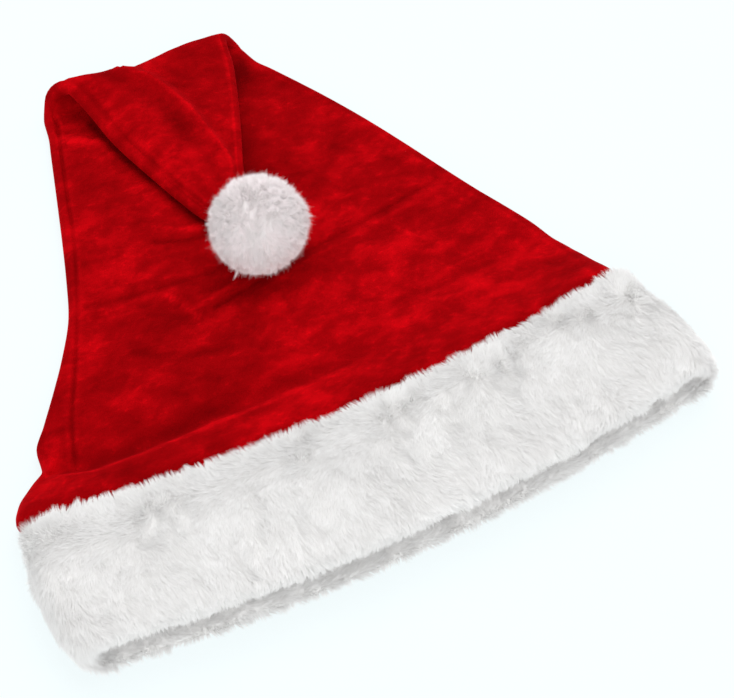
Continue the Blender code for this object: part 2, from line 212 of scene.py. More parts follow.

# Creases that were pressed into the front panel when the hat was packed: how far each rises or dips,
# and how strong the painted highlight or painted shade along it is.
Crease = namedtuple("Crease", "height tone half_width points")
CREASES = (
    Crease(-0.9, -0.6, 1.4, ((-32, 66), (-8, 70), (20, 76), (46, 80), (76, 85), (100, 90))),
    Crease(0.5, 0.5, 1.3, ((-6, 65), (22, 71), (48, 75), (78, 80), (98, 84))),
    Crease(-0.6, -0.6, 1.6, ((-86, 96), (-66, 91), (-46, 89), (-24, 86))),
    Crease(0.5, 0.5, 1.5, ((-88, 92), (-66, 87), (-44, 85))),
    Crease(0.7, 1.2, 1.4, ((-49, 83), (-44, 74), (-41, 64))),
    Crease(0.5, 1.0, 1.2, ((-41, 70), (-30, 72), (-16, 75))),
    Crease(0.5, 1.1, 1.6, ((-38, 124), (-30, 118), (-16, 113))),
    Crease(-0.6, -0.7, 1.6, ((-42, 116), (-28, 110), (-14, 108))),
    Crease(0.4, 1.0, 1.2, ((66, 70), (72, 60), (80, 52))),
    Crease(0.7, 0.5, 3.0, ((40, 17), (70, 18), (104, 20), (132, 22))),
    Crease(-0.5, -0.4, 3.0, ((30, 27), (70, 28), (110, 32))),
    Crease(0.9, 0.7, 2.2, ((-62, 199), (-48, 194), (-38, 186))),
    Crease(-0.6, -0.5, 2.6, ((-58, 207), (-46, 202))),
    Crease(0.5, 0.6, 2.2, ((96, 104), (86, 116))),
    Crease(-0.5, -0.5, 3.0, ((-75, 60), (-60, 48), (-35, 40))),
    Crease(0.8, 0.6, 2.4, ((-59, 202), (-49, 195), (-41, 186), (-38, 178))),
    Crease(0.4, 0.7, 4.0, ((-133, 18), (-127, 35))),
)
# A crease along the front panel just above the fur, steep on the fur's side of its deepest line. On
# the left it bends up to the notch in the crown's edge, and it fades to the right.
HEM_CREASE_Y = 11.0
HEM_CREASE_DEPTH = 4.0
HEM_CREASE_FUR_SIDE = 3.2
HEM_CREASE_TIP_SIDE = 8.0
HEM_CREASE_BEND = 14.0
HEM_CREASE_BEND_X = -112.0
HEM_CREASE_FADE_X = -60.0
HEM_CREASE_END_X = 60.0
# A painted highlight lies along the crest that the crease leaves on the fur's side, and painted shade in
# its depth.
HEM_CREST = -3.6
HEM_CREST_HALF_WIDTH = 1.3
HEM_CREST_PAINTED_HIGHLIGHT = 1.3
HEM_DEPTH_PAINTED_SHADE = -0.5

STRONGEST_TONE = 1.2

# The relief never dips as deep as the cloth is thick, so the crown's inner wall stays under its outside.
LOWEST_RELIEF = 0.5 - VELVET

# Unevenness of the crushed velvet: its size across, and its height.
Lumps = namedtuple("Lumps", "size height")
BODY_LUMPS = (Lumps(46.0, 1.3), Lumps(17.0, 0.55), Lumps(7.0, 0.22))
TIP_LUMPS = (Lumps(24.0, 0.5), Lumps(9.0, 0.25))

# Round the fur band's cross-section, from the slot at the crown's end over the outside to the inside.
Band = namedtuple("Band", "down out")
SLOT_HALF_WIDTH = VELVET / 2.0 + SEWN_GAP
BAND_ROWS = (
    Band(0.0, SLOT_HALF_WIDTH), Band(0.0, 2.6), Band(2.4, 3.8), Band(16.0, 4.4), Band(32.0, 4.5),
    Band(48.0, 4.2), Band(56.0, 3.0), Band(60.8, 0.4), Band(61.0, -2.8), Band(57.0, -5.2),
    Band(48.0, -5.6), Band(26.0, -5.6), Band(4.0, -5.6), Band(0.5, -3.5), Band(0.5, -SLOT_HALF_WIDTH),
    Band(HEM_DEPTH + SEWN_GAP, -SLOT_HALF_WIDTH), Band(HEM_DEPTH + SEWN_GAP, SLOT_HALF_WIDTH),
)
Width = namedtuple("Width", "down left right")
BAND_WIDTHS = (
    Width(down=0.0, left=HEM_LEFT, right=HEM_RIGHT),
    Width(down=11.0, left=HEM_LEFT, right=HEM_RIGHT),
    Width(down=22.0, left=-155.0, right=147.5),
    Width(down=38.0, left=-155.0, right=152.0),
    Width(down=53.0, left=-154.0, right=154.0),
    Width(down=BRIM_HEIGHT, left=-152.0, right=154.0),
)
SKIN_FLOOR_GAP = 0.5
BAND_AROUND_STEPS = 260
BAND_ACROSS_STEPS = 60

# How the pile lies, by its place over the band's skin. lean is towards the crown on the outside, and
# so towards the mouth on the inside; side is to its left; lift is how far it stands up; clump is how
# far it is gathered.
Nap = namedtuple("Nap", "along lean side lift length clump")
NAP_ROWS = (
    Nap(along=0.0, lean=0.55, side=0.15, lift=0.75, length=4.2, clump=0.55),
    Nap(along=3.0, lean=0.45, side=0.20, lift=0.60, length=4.4, clump=0.50),
    Nap(along=9.0, lean=0.10, side=0.40, lift=0.40, length=4.4, clump=0.35),
    Nap(along=17.0, lean=-0.45, side=0.40, lift=0.32, length=4.6, clump=0.30),
    Nap(along=30.0, lean=-0.80, side=0.25, lift=0.30, length=4.8, clump=0.30),
    Nap(along=50.0, lean=-1.00, side=0.10, lift=0.30, length=5.2, clump=0.40),
    Nap(along=57.0, lean=-1.00, side=0.05, lift=0.32, length=6.4, clump=0.70),
    Nap(along=61.0, lean=-0.90, side=0.05, lift=0.45, length=6.2, clump=0.75),
    Nap(along=66.0, lean=-0.30, side=0.10, lift=0.60, length=4.6, clump=0.50),
    Nap(along=76.0, lean=0.80, side=0.20, lift=0.35, length=4.4, clump=0.40),
    Nap(along=130.0, lean=1.00, side=0.20, lift=0.25, length=4.0, clump=0.30),
)
CLUMP_SIZE = 1.9
UNDER_PILE = 0.75
TUFT_SIZE = 5.5
SWAY_SIZE = 26.0

# How far the pile wanders: in broad sweeps, in each tuft and from strand to strand.
Wander = namedtuple("Wander", "broad tuft strand")
SIDE_WANDER = Wander(broad=1.0, tuft=0.7, strand=0.1)
LEAN_WANDER = Wander(broad=0.5, tuft=0.4, strand=0.1)

# Strands at the band's ends, and at its mouth from here on over its skin, catch the light from above,
# also where they hang down.
MOUTH_START = (50.0, 57.0)
LIT_FACING_UP = 0.45

# The way round one end of the band, and how near to the floor its strands may come.
BAND_END_LENGTH = 50.0
FLOOR_GAP = (0.15, 0.55)

# How white a strand is at the three points of its root and at its tip: its root is painted greyer, as
# shade deep in the pile.
SPIKE_TONES = (0.2, 0.2, 0.4, 1.0)

# The least and most that strands differ by: in width, in length, in lift, and in how far they are
# gathered.
STRAND_WIDTHS = (0.7, 1.3)
BAND_LENGTHS = (0.75, 1.1)
BAND_LIFTS = (0.8, 1.2)
STRAND_PULLS = (0.3, 1.0)
BAND_ROOT_DEPTH = 0.3

# How far the band's strands differ from tuft to tuft in lift and length, how white they are, and how
# far their shading turns towards the crown, sideways and any way.
TUFT_LIFT = 0.6
TUFT_LENGTH = 0.4
CLUMP_LENGTH = 0.4
WHITENESS = 0.8
TUFT_WHITENESS = 0.3
CLUMP_WHITENESS = 0.25
DARKEST = 0.2
FACING_CROWN = 0.25
FACING_SIDEWAYS = 0.4
FACING_SHAKE = 0.12

# A patch of pile: its place round the loop, from the front at 0 over the right end at 1 and the back
# at 2 to the left end at 3, its place over the band's skin, and how many strands it has.
Patch = namedtuple("Patch", "around along strands")
PILES = {
    "fur_front_pile_left": (Patch((0.0, 0.5), (0.0, 60.0), 54000),),
    "fur_front_pile_right": (Patch((0.5, 1.0), (0.0, 60.0), 54000),),
    "fur_lip_pile": (
        Patch((0.0, 1.0), (56.0, 76.0), 20000),
        Patch((2.0, 3.0), (56.0, 76.0), 18000),
        Patch((2.0, 3.0), (76.0, 104.0), 14000),
        Patch((0.0, 1.0), (76.0, 90.0), 3000),
    ),
    "fur_end_pile": (
        Patch((1.0, 2.0), (0.0, 90.0), 23000),
        Patch((3.0, 4.0), (0.0, 90.0), 23000),
        Patch((2.0, 3.0), (0.0, 58.0), 8000),
    ),
}

# The pompom: a ball of packed pile, pressed flat where it would come nearer to the crown than its gap.
# The crown is looked for as far out of the ball as its room. Strands are rooted a little way in it.
POMPOM_CENTRE = np.array((1.0, 86.0, 33.8))
POMPOM_HEART = 20.2
POMPOM_GAP = 0.4
POMPOM_ROOM = 12.0
HEART_LUMP_SCALE = 2.6
HEART_LUMP_HEIGHT = 0.8
ROOT_DEPTH = 0.6

# Its tufts, the way that they are swept, and how far they and their strands differ.
POMPOM_TUFT_COUNT = 1100
MATCHED_AT_ONCE = 4000
POMPOM_SWEEP = (-0.30, -0.90, -0.30)
SWEEP_SHARE = 0.45
POMPOM_SWAY_SIZE = 9.0
POMPOM_TUFT_LENGTHS = (0.85, 1.12)
POMPOM_LENGTHS = (0.75, 1.12)
TUFT_SHAKE = 0.22
STRAND_SHAKE = 0.1
POMPOM_PULL = 0.5
SHAKEN_WHITENESS = 0.08
POMPOM_DARKEST = 0.3

# How upright its strands are, and their gap to the crown. A few stray ones are longer, thinner and more
# upright.
STRAND_STAND = 0.75
STRAND_GAP = 0.3
SHORTEST_STRAND = 0.4
POMPOM_STRAYS = 0.06
STRAY_LENGTH = 1.35
STRAY_WIDTH = 0.5
STRAY_STAND = 1.2

# A thin lock of strands that hangs out of it.
STRAY_LOCK = Vector((-0.70, -0.49, -0.51))
STRAY_LOCK_REACH = 30.0
STRAY_LOCK_STRANDS = 24
STRAY_LOCK_ROOT_DEPTH = 1.0
STRAY_LOCK_ROOT_SPREAD = 0.35
STRAY_LOCK_TIP_SPREAD = 0.25
STRAY_LOCK_LENGTHS = (0.7, 1.0)
STRAY_LOCK_WIDTH = 1.6

# Where it bulges out of its round shape.
Tuft = namedtuple("Tuft", "x y z reach half_angle")
POMPOM_TUFTS = (
    Tuft(x=0.93, y=-0.10, z=0.0, reach=2.4, half_angle=24.0),
    Tuft(x=-0.45, y=-0.88, z=-0.1, reach=0.96, half_angle=30.0),
)

# The camera stands where the photograph was taken from.
CAMERA_TARGET = (0.0278, -0.0494, 0.0)
CAMERA_AZIMUTH = -27.0
CAMERA_ELEVATION = 56.0
KEY_LIGHT_FROM = (0.35, 0.45, 1.05)
FILL_LIGHT_FROM = (-0.35, -0.90, 0.50)
RIM_LIGHT_FROM = (0.95, 0.20, 0.50)
SENSOR_WIDTH = 36.0
FLOOR_SIZE = 12.0
FLOOR_COLOURS = ((0.115, 0.12, 0.122), (0.125, 0.13, 0.132))
FLOOR_GLOW = (0.91, 0.99, 1.0, 1.0)
FLOOR_GLOW_STRENGTH = 0.86

# Patches of light and dark, from the velvet's broad ones to its pile, then the fur's, the pompom's and
# the floor's: how many fit in a metre, how they look, and their share in the colour.
Patches = namedtuple("Patches", "scale detail roughness distortion share", defaults=(2.0, 0.5, 0.0, 1.0))
BROAD_PATCHES = Patches(24.0, share=0.40)
MIDDLE_PATCHES = Patches(75.0, detail=3.0, roughness=0.55, distortion=0.35, share=0.40)
CRUSHED_PATCHES = Patches(260.0, detail=3.0, roughness=0.60, distortion=0.3, share=0.11)
PILE_PATCHES = Patches(1100.0, roughness=0.6, share=0.09)
FUR_PATCHES = Patches(60.0, detail=3.0, roughness=0.55, share=0.4)
POMPOM_PATCHES = Patches(90.0, detail=3.0, roughness=0.55, share=0.4)
FLOOR_PATCHES = Patches(9.0)

# How dark and light patches, flecks, and the ragged breaks in the painted light and shade of creases,
# seams and edges come out of the velvet's patches.
BRUSHED_STOPS = ((0.36, 0.12), (0.50, 0.42), (0.64, 1.0))
FLECK_STOPS = ((0.58, 0.0), (0.72, 1.0))
RAGGED_STOPS = ((0.38, 0.35), (0.62, 1.2))

# The nap's lightness: its least, and what the brushed patches and the flecks add. Its bump comes from
# the same patches, up to a depth in metres.
LEAST_NAP = 0.04
BRUSHED_SHARE = 0.72
FLECK_SHARE = 0.25
BUMP_STRENGTH = 0.8
BUMP_DEPTH = 0.0014
SWEPT_TURN = 0.35
SWEPT_SCALE = (1.0, 1.5, 1.2)

# How far the pile's depth and its patches whiten it: deep in the pile it is painted greyer, as shade.
DEPTH_SHARE = 0.9
LEAST_WHITE = -0.12


class VelvetSettings(bpy.types.PropertyGroup):
    bright: bpy.props.FloatVectorProperty(
        name="Bright red", description="Velvet where its nap faces the light", subtype="COLOR",
        size=3, min=0.0, max=1.0, default=(0.54, 0.0012, 0.004),
    )
    deep: bpy.props.FloatVectorProperty(
        name="Deep red", description="Velvet where its nap is brushed away", subtype="COLOR",
        size=3, min=0.0, max=1.0, default=(0.115, 0.0, 0.0006),
    )
    sheen: bpy.props.FloatProperty(
        name="Sheen", description="Strength of the nap's glow at its edges", default=0.42, min=0.0,
        max=1.0, subtype="FACTOR",
    )
    # How strongly the painted light and shade of creases, seams, edges and beside the tip show.
    crease: bpy.props.FloatProperty(
        name="Creases", description="How much creases and seams change the nap's colour", default=0.42,
        min=0.0, max=1.0, subtype="FACTOR",
    )


class FurSettings(bpy.types.PropertyGroup):
    colour: bpy.props.FloatVectorProperty(
        name="Fur", description="Colour of the pile's tips", subtype="COLOR", size=3, min=0.0,
        max=1.0, default=(0.87, 0.87, 0.867),
    )
    # Fur roots: painted shade deep in the pile, where the strands shadow each other.
    root: bpy.props.FloatVectorProperty(
        name="Fur roots", description="Colour deep in the pile", subtype="COLOR", size=3, min=0.0,
        max=1.0, default=(0.66, 0.65, 0.64),
    )
    density: bpy.props.FloatProperty(
        name="Density", description="Share of the full number of strands", default=1.0, min=0.05,
        max=1.0, subtype="FACTOR",
    )
    width: bpy.props.FloatProperty(
        name="Strand width", description="Width of a strand at its root", default=0.00034,
        min=0.0001, max=0.002, unit="LENGTH", precision=5,
    )
    # Painted glow: a constant emission over the fur and pompom, in place of light that strands pass on to
    # each other.
    painted_glow: bpy.props.FloatProperty(
        name="Scattered light", description="Light that strands pass on to each other, deep in the pile",
        default=0.055, min=0.0, max=1.0,
    )


class PompomSettings(bpy.types.PropertyGroup):
    colour: bpy.props.FloatVectorProperty(
        name="Pompom", description="Colour of the pompom's pile", subtype="COLOR", size=3, min=0.0,
        max=1.0, default=(0.95, 0.87, 0.885),
    )
    strands: bpy.props.IntProperty(
        name="Strands", description="Strands in the pompom", default=52000, min=100, max=66000,
    )
    length: bpy.props.FloatProperty(
        name="Pile length", description="Length of the pompom's pile", default=0.0044, min=0.001,
        max=0.02, unit="LENGTH", precision=4,
    )
    width: bpy.props.FloatProperty(
        name="Strand width", description="Width of a strand at its root", default=0.00034,
        min=0.0001, max=0.002, unit="LENGTH", precision=5,
    )


class StageSettings(bpy.types.PropertyGroup):
    distance: bpy.props.FloatProperty(
        name="Camera distance", description="From the camera to its target", default=0.8, min=0.2,
        unit="LENGTH",
    )
    lens: bpy.props.FloatProperty(
        name="Lens", description="Focal length on a 36 mm wide sensor", default=83.2, min=20.0,
        unit="CAMERA",
    )
    sky: bpy.props.FloatProperty(
        name="Sky", description="Strength of the light from all round", default=0.85, min=0.0,
    )
    key: bpy.props.FloatProperty(
        name="Key light", description="Strength of the large soft light overhead", default=1.3, min=0.0,
    )
    fill: bpy.props.FloatProperty(
        name="Fill light", description="Strength of the weak light from the mouth's side", default=1.1,
        min=0.0,
    )
    rim: bpy.props.FloatProperty(
        name="Rim light", description="Strength of the weak light from the right", default=0.4, min=0.0,
    )
    softness: bpy.props.FloatProperty(
        name="Softness", description="Angle that each light fills", default=math.radians(45.0), min=0.0,
        max=math.pi, subtype="ANGLE",
    )


class Socket:
    """A shader socket with arithmetic, so that masks are written as expressions."""

    def __init__(self, tree, socket):
        self.tree = tree
        self.socket = socket

    def math(self, operation, other=None, swapped=False, clamp=False):
        node = self.tree.nodes.new("ShaderNodeMath")
        node.operation = operation
        node.use_clamp = clamp
        values = [self] if other is None else [self, other]
        if swapped:
            values.reverse()
        for slot, value in zip(node.inputs, values):
            connect(self.tree, slot, value)
        return Socket(self.tree, node.outputs[0])

    def __add__(self, other):
        return self.math("ADD", other)

    __radd__ = __add__

    def __mul__(self, other):
        return self.math("MULTIPLY", other)

    __rmul__ = __mul__

    def __sub__(self, other):
        return self.math("SUBTRACT", other)

    def __rsub__(self, other):
        return self.math("SUBTRACT", other, swapped=True)

    def clamped(self):
        return self.math("ADD", 0.0, clamp=True)


def connect(tree, slot, value):
    """Link a socket to a slot, or set the slot to a plain value."""
    if isinstance(value, Socket):
        tree.links.new(value.socket, slot)
    else:
        slot.default_value = value


def add_node(tree, kind, options=None, stops=None, output=0, **values):
    """Add a node: its settings first, then a ramp's stops, then its inputs by name."""
    node = tree.nodes.new(kind)
    for name, option in (options or {}).items():
        setattr(node, name, option)
    if stops:
        ramp = node.color_ramp
        while len(ramp.elements) < len(stops):
            ramp.elements.new(1.0)
        for element, (position, level) in zip(ramp.elements, stops):
            element.position = position
            element.color = (level, level, level, 1.0)
    set_inputs(tree, node, values)
    return Socket(tree, node.outputs[output])


def set_inputs(tree, node, values):
    """Set or link a node's inputs, whose names have underscores for spaces here."""
    for name, value in values.items():
        connect(tree, node.inputs[name.replace("_", " ")], value)


def new_material(name, **values):
    """A material whose shader has the given inputs."""
    material = bpy.data.materials.new(name)
    material.use_nodes = True
    tree = material.node_tree
    shader = tree.nodes["Principled BSDF"]
    set_inputs(tree, shader, values)
    return material, tree, shader


def object_place(tree):
    return add_node(tree, "ShaderNodeTexCoord", output=3)


def mesh_value(tree, name):
    return add_node(tree, "ShaderNodeAttribute", {"attribute_name": name}, output=2)


def cloud(tree, place, patches):
    return add_node(
        tree, "ShaderNodeTexNoise", Vector=place, Scale=patches.scale, Detail=patches.detail,
        Roughness=patches.roughness, Distortion=patches.distortion,
    )


def mix_colour(tree, factor, first, second):
    node = tree.nodes.new("ShaderNodeMix")
    node.data_type = "RGBA"
    connect(tree, node.inputs["Factor"], factor)
    colours = [slot for slot in node.inputs if slot.type == "RGBA"]
    for slot, colour in zip(colours, (first, second)):
        connect(tree, slot, colour if isinstance(colour, Socket) else (*colour, 1.0))
    return Socket(tree, next(slot for slot in node.outputs if slot.type == "RGBA"))


def velvet_material():
    """Crushed plush: its nap brushed light and dark in patches, with bright flecks, and painted light and
    shade from its relief.
    """
    look = bpy.context.scene.santa_hat_velvet
    material, tree, shader = new_material(
        "crushed red velvet", Roughness=0.9, Specular_IOR_Level=0.01, Sheen_Weight=look.sheen,
        Sheen_Roughness=0.3, Sheen_Tint=(1.0, 0.01, 0.02, 1.0),
    )
    place = object_place(tree)
    # The relief tone holds painted light and shade: lit ridges and rims, shaded grooves and shadows.
    relief = mesh_value(tree, "relief")
    swept = add_node(
        tree, "ShaderNodeMapping", Vector=place, Rotation=(0.0, 0.0, SWEPT_TURN), Scale=SWEPT_SCALE
    )
    broad = cloud(tree, swept, BROAD_PATCHES)
    patches = cloud(tree, swept, MIDDLE_PATCHES)
    crushed = cloud(tree, swept, CRUSHED_PATCHES)
    pile = cloud(tree, place, PILE_PATCHES)
    mottled = broad * BROAD_PATCHES.share + patches * MIDDLE_PATCHES.share
    mottled = mottled + crushed * CRUSHED_PATCHES.share + pile * PILE_PATCHES.share
    brushed = add_node(tree, "ShaderNodeValToRGB", stops=BRUSHED_STOPS, Fac=mottled)
    flecks = add_node(tree, "ShaderNodeValToRGB", stops=FLECK_STOPS, Fac=crushed)
    rough_patches = crushed * 0.5 + patches * 0.5
    ragged = add_node(tree, "ShaderNodeValToRGB", stops=RAGGED_STOPS, Fac=rough_patches)
    nap = brushed * BRUSHED_SHARE + flecks * brushed * FLECK_SHARE
    nap = (nap + relief * ragged * look.crease + LEAST_NAP).clamped()
    colour = mix_colour(tree, nap, look.deep, look.bright)
    height = patches * 0.6 + crushed * 0.25 + pile * 0.15
    bump = add_node(tree, "ShaderNodeBump", Strength=BUMP_STRENGTH, Distance=BUMP_DEPTH, Height=height)
    set_inputs(tree, shader, {"Base_Color": colour, "Normal": bump})
    return material


def pile_material(name, tip, root, patches, painted_glow):
    """White pile: painted greyer at its roots, as shade deep in the pile, with soft patches, and a faint
    painted glow.
    """
    material, tree, shader = new_material(
        name, Roughness=0.9, Specular_IOR_Level=0.1, Sheen_Weight=0.15, Sheen_Roughness=0.5,
        # Painted glow: constant emission in place of light scattered between strands.
        Emission_Color=(1.0, 0.985, 0.98, 1.0), Emission_Strength=painted_glow,
    )
    soft = cloud(tree, object_place(tree), patches) * patches.share
    white = (mesh_value(tree, "height") * DEPTH_SHARE + soft + LEAST_WHITE).clamped()
    connect(tree, shader.inputs["Base Color"], mix_colour(tree, white, root, tip))
    return material


def stage_material():
    material, tree, shader = new_material(
        "pale floor", Roughness=0.9, Specular_IOR_Level=0.1, Emission_Color=FLOOR_GLOW,
        Emission_Strength=FLOOR_GLOW_STRENGTH,
    )
    grain = cloud(tree, object_place(tree), FLOOR_PATCHES)
    connect(tree, shader.inputs["Base Color"], mix_colour(tree, grain, *FLOOR_COLOURS))
    return material


def smooth_step(start, end, value):
    share = np.clip((value - start) / (end - start), 0.0, 1.0)
    return share * share * (3.0 - 2.0 * share)


def bell(distance, half_width):
    """A soft rise: 1 at its middle, and about a third at its half width."""
    return np.exp(-((distance / half_width) ** 2))


def run_along(points):
    """How far along a line each of its points lies."""
    return np.concatenate(([0.0], np.cumsum(np.linalg.norm(np.diff(points, axis=0), axis=1))))


def by_side(side, front, right, back, left):
    """A value for each place round a flattened loop, by the side that it lies on."""
    return np.select([side == 0, side == 1, side == 2], [front, right, back], left)


def unit(vectors):
    return vectors / np.maximum(np.linalg.norm(vectors, axis=-1, keepdims=True), 1e-9)


def read_table(rows, places, wanted):
    """A table's columns at the places wanted, on smooth curves that overshoot no row."""
    values = np.array(rows, float)
    places = np.asarray(places, float)
    spans = np.diff(places)[:, None]
    steps = np.diff(values, axis=0) / spans
    slopes = np.empty_like(values)
    slopes[0] = steps[0]
    slopes[-1] = steps[-1]
    before = steps[:-1]
    after = steps[1:]
    same_way = before * after > 0.0
    total = np.where(same_way, before + after, 1.0)
    slopes[1:-1] = np.where(same_way, 2.0 * before * after / total, 0.0)
    k = np.clip(np.searchsorted(places, wanted, side="right") - 1, 0, len(values) - 2)
    span = spans[k]
    t = (wanted - places[k])[..., None] / span
    return (
        values[k] * (2.0 * t**3 - 3.0 * t**2 + 1.0)
        + slopes[k] * span * (t**3 - 2.0 * t**2 + t)
        + values[k + 1] * (3.0 * t**2 - 2.0 * t**3)
        + slopes[k + 1] * span * (t**3 - t**2)
    )


def bow_at(x, bow):
    middle = (HEM_LEFT + HEM_RIGHT) / 2.0
    half = (HEM_RIGHT - HEM_LEFT) / 2.0
    return bow * np.maximum(0.0, 1.0 - ((x - middle) / half) ** 2)


def body_section(row):
    middle_z = row.lift + row.edge / 2.0
    return Section(
        row.left, row.y, middle_z, row.right, row.y, middle_z,
        turn=0.0, edge=row.edge, front_dome=row.dome, back_dome=0.0, bow=row.bow, roll=0.0, ridge=-0.8,
    )


def pivot_point(pivot, row, x):
    angle = math.radians(row.angle)
    reach = pivot.gap + row.edge / 2.0
    return x, pivot.y + reach * math.sin(angle), pivot.z - reach * math.cos(angle)


def turn_section(row):
    return Section(
        *pivot_point(LEFT_PIVOT, row, row.left), *pivot_point(RIGHT_PIVOT, row, row.right),
        turn=row.angle, edge=row.edge, front_dome=0.0, back_dome=row.dome, bow=0.0,
        roll=row.roll, ridge=row.ridge,
    )


def tip_section(row):
    return Section(
        row.left_x, row.left_y, row.under_left + row.edge / 2.0,
        row.right_x, row.right_y, row.under_right + row.edge / 2.0,
        turn=180.0, edge=row.edge, front_dome=0.0, back_dome=row.dome, bow=0.0,
        roll=row.roll, ridge=row.ridge,
    )


def crown_table():
    table = [body_section(row) for row in BODY_ROWS]
    table += [turn_section(row) for row in TURN_ROWS]
    table += [tip_section(row) for row in TIP_ROWS]
    return table


def even_places(table, step):
    """Places in the crown's table that lie about a step apart along the cloth."""
    fine = np.linspace(0.0, len(table) - 1.0, 2000)
    rows = read_table(table, range(len(table)), fine)
    run = run_along((rows[:, 0:3] + rows[:, 3:6]) / 2.0)
    return np.interp(np.linspace(0.0, run[-1], int(run[-1] / step) + 1), run, fine)


def lumps(points, layers, seed):
    """Soft unevenness in layers of different sizes."""
    flat = points.reshape(-1, 3)
    total = np.zeros(len(flat))
    for layer in layers:
        shift = Vector((seed, 0.0, layer.size))
        scale = 1.0 / layer.size
        total += layer.height * np.array([noise.noise(Vector(p) * scale + shift) for p in flat])
    return total.reshape(points.shape[:-1])


def distance_to_line(x, y, points):
    """How far each place lies from a line through points, in plan."""
    nearest = np.full(x.shape, np.inf)
    for (x0, y0), (x1, y1) in zip(points, points[1:]):
        length = (x1 - x0) ** 2 + (y1 - y0) ** 2
        t = np.clip(((x - x0) * (x1 - x0) + (y - y0) * (y1 - y0)) / length, 0.0, 1.0)
        nearest = np.minimum(nearest, np.hypot(x - x0 - t * (x1 - x0), y - y0 - t * (y1 - y0)))
    return nearest


def seam_profile(distance):
    """A sewn seam: a groove with the cloth puffed up on both sides of it."""
    puffs = bell(np.abs(distance) - SEAM_PUFF_PLACE, SEAM_PUFF_HALF_WIDTH)
    return SEAM_PUFF_HEIGHT * puffs - SEAM_DEPTH * bell(distance, SEAM_HALF_WIDTH)


def hem_crease(x, y):
    """How deep the crease above the fur is, and its painted highlight on the crest and painted shade in its
    depth.
    """
    beyond = y - HEM_CREASE_Y - HEM_CREASE_BEND * smooth_step(HEM_CREASE_BEND_X, HEM_LEFT, x)
    half_width = np.where(beyond > 0.0, HEM_CREASE_TIP_SIDE, HEM_CREASE_FUR_SIDE)
    along = bell(beyond, half_width)
    crest = bell(beyond - HEM_CREST, HEM_CREST_HALF_WIDTH)
    fade = 1.0 - smooth_step(HEM_CREASE_FADE_X, HEM_CREASE_END_X, x)
    return HEM_CREASE_DEPTH * along * fade, (HEM_CREST_PAINTED_HIGHLIGHT * crest + HEM_DEPTH_PAINTED_SHADE * along) * fade


def tip_painted_shadow_and_light(x, y):
    """Painted shadow and light on the front panel beside the folded tip."""
    right, up = LEFT_SHADE_SHIFT
    left_edge = distance_to_line(x, y, [(row.left_x + right, row.left_y + up) for row in TIP_ROWS])
    right_edge = distance_to_line(x, y, [(row.right_x, row.right_y) for row in TIP_ROWS])
    tone = RIGHT_SHADE.tone * bell(right_edge - RIGHT_SHADE.distance, RIGHT_SHADE.half_width)
    for shade in LEFT_SHADES:
        tone = tone + shade.tone * bell(left_edge - shade.distance, shade.half_width)
    notch = np.hypot((x - NOTCH.x) / NOTCH.half_width, (y - NOTCH.y) / NOTCH.half_length)
    return tone + NOTCH.tone * bell(notch, 1.0)


def front_relief(points, across):
    """Rise of the front panel over its plain form, in millimetres, and the painted light and shade there.
    """
    x = points[..., 0]
    y = points[..., 1]
    relief = np.zeros(x.shape)
    tone = np.zeros(x.shape)
    for crease in CREASES:
        line = bell(distance_to_line(x, y, crease.points), crease.half_width)
        relief += crease.height * line
        # Painted highlight along raised creases, painted shade along dipped ones.
        tone += crease.tone * line
    seam_y = [row.y for row in SEAM_PLACES]
    seam_x = read_table(SEAM_PLACES, seam_y, np.clip(y, seam_y[0], seam_y[-1]))[..., 1]
    seam = seam_profile(x - seam_x) * smooth_step(*SEAM_FADE, y)
    depth, hem_painted_light_and_shade = hem_crease(x, y)
    free = smooth_step(FUR_END_Y, FUR_END_Y + FREE_OF_FUR, y)
    uneven = lumps(points, BODY_LUMPS, seed=3.0) * free
    fade = smooth_step(*RELIEF_FADE, np.abs(across))
    rise = np.maximum((relief + seam + uneven) * fade, LOWEST_RELIEF)
    rise = rise - depth * smooth_step(*CREASE_FADE, np.abs(across))
    # Painted highlight along the right edge of the front panel.
    rim = RIM_PAINTED_HIGHLIGHT * smooth_step(RIM_START, 1.0, across)
    # Painted light and shade from the seam, the hem crease and beside the tip join the creases'.
    return rise, tone + seam * SEAM_PAINTED_SHADING + hem_painted_light_and_shade + tip_painted_shadow_and_light(x, y) + rim


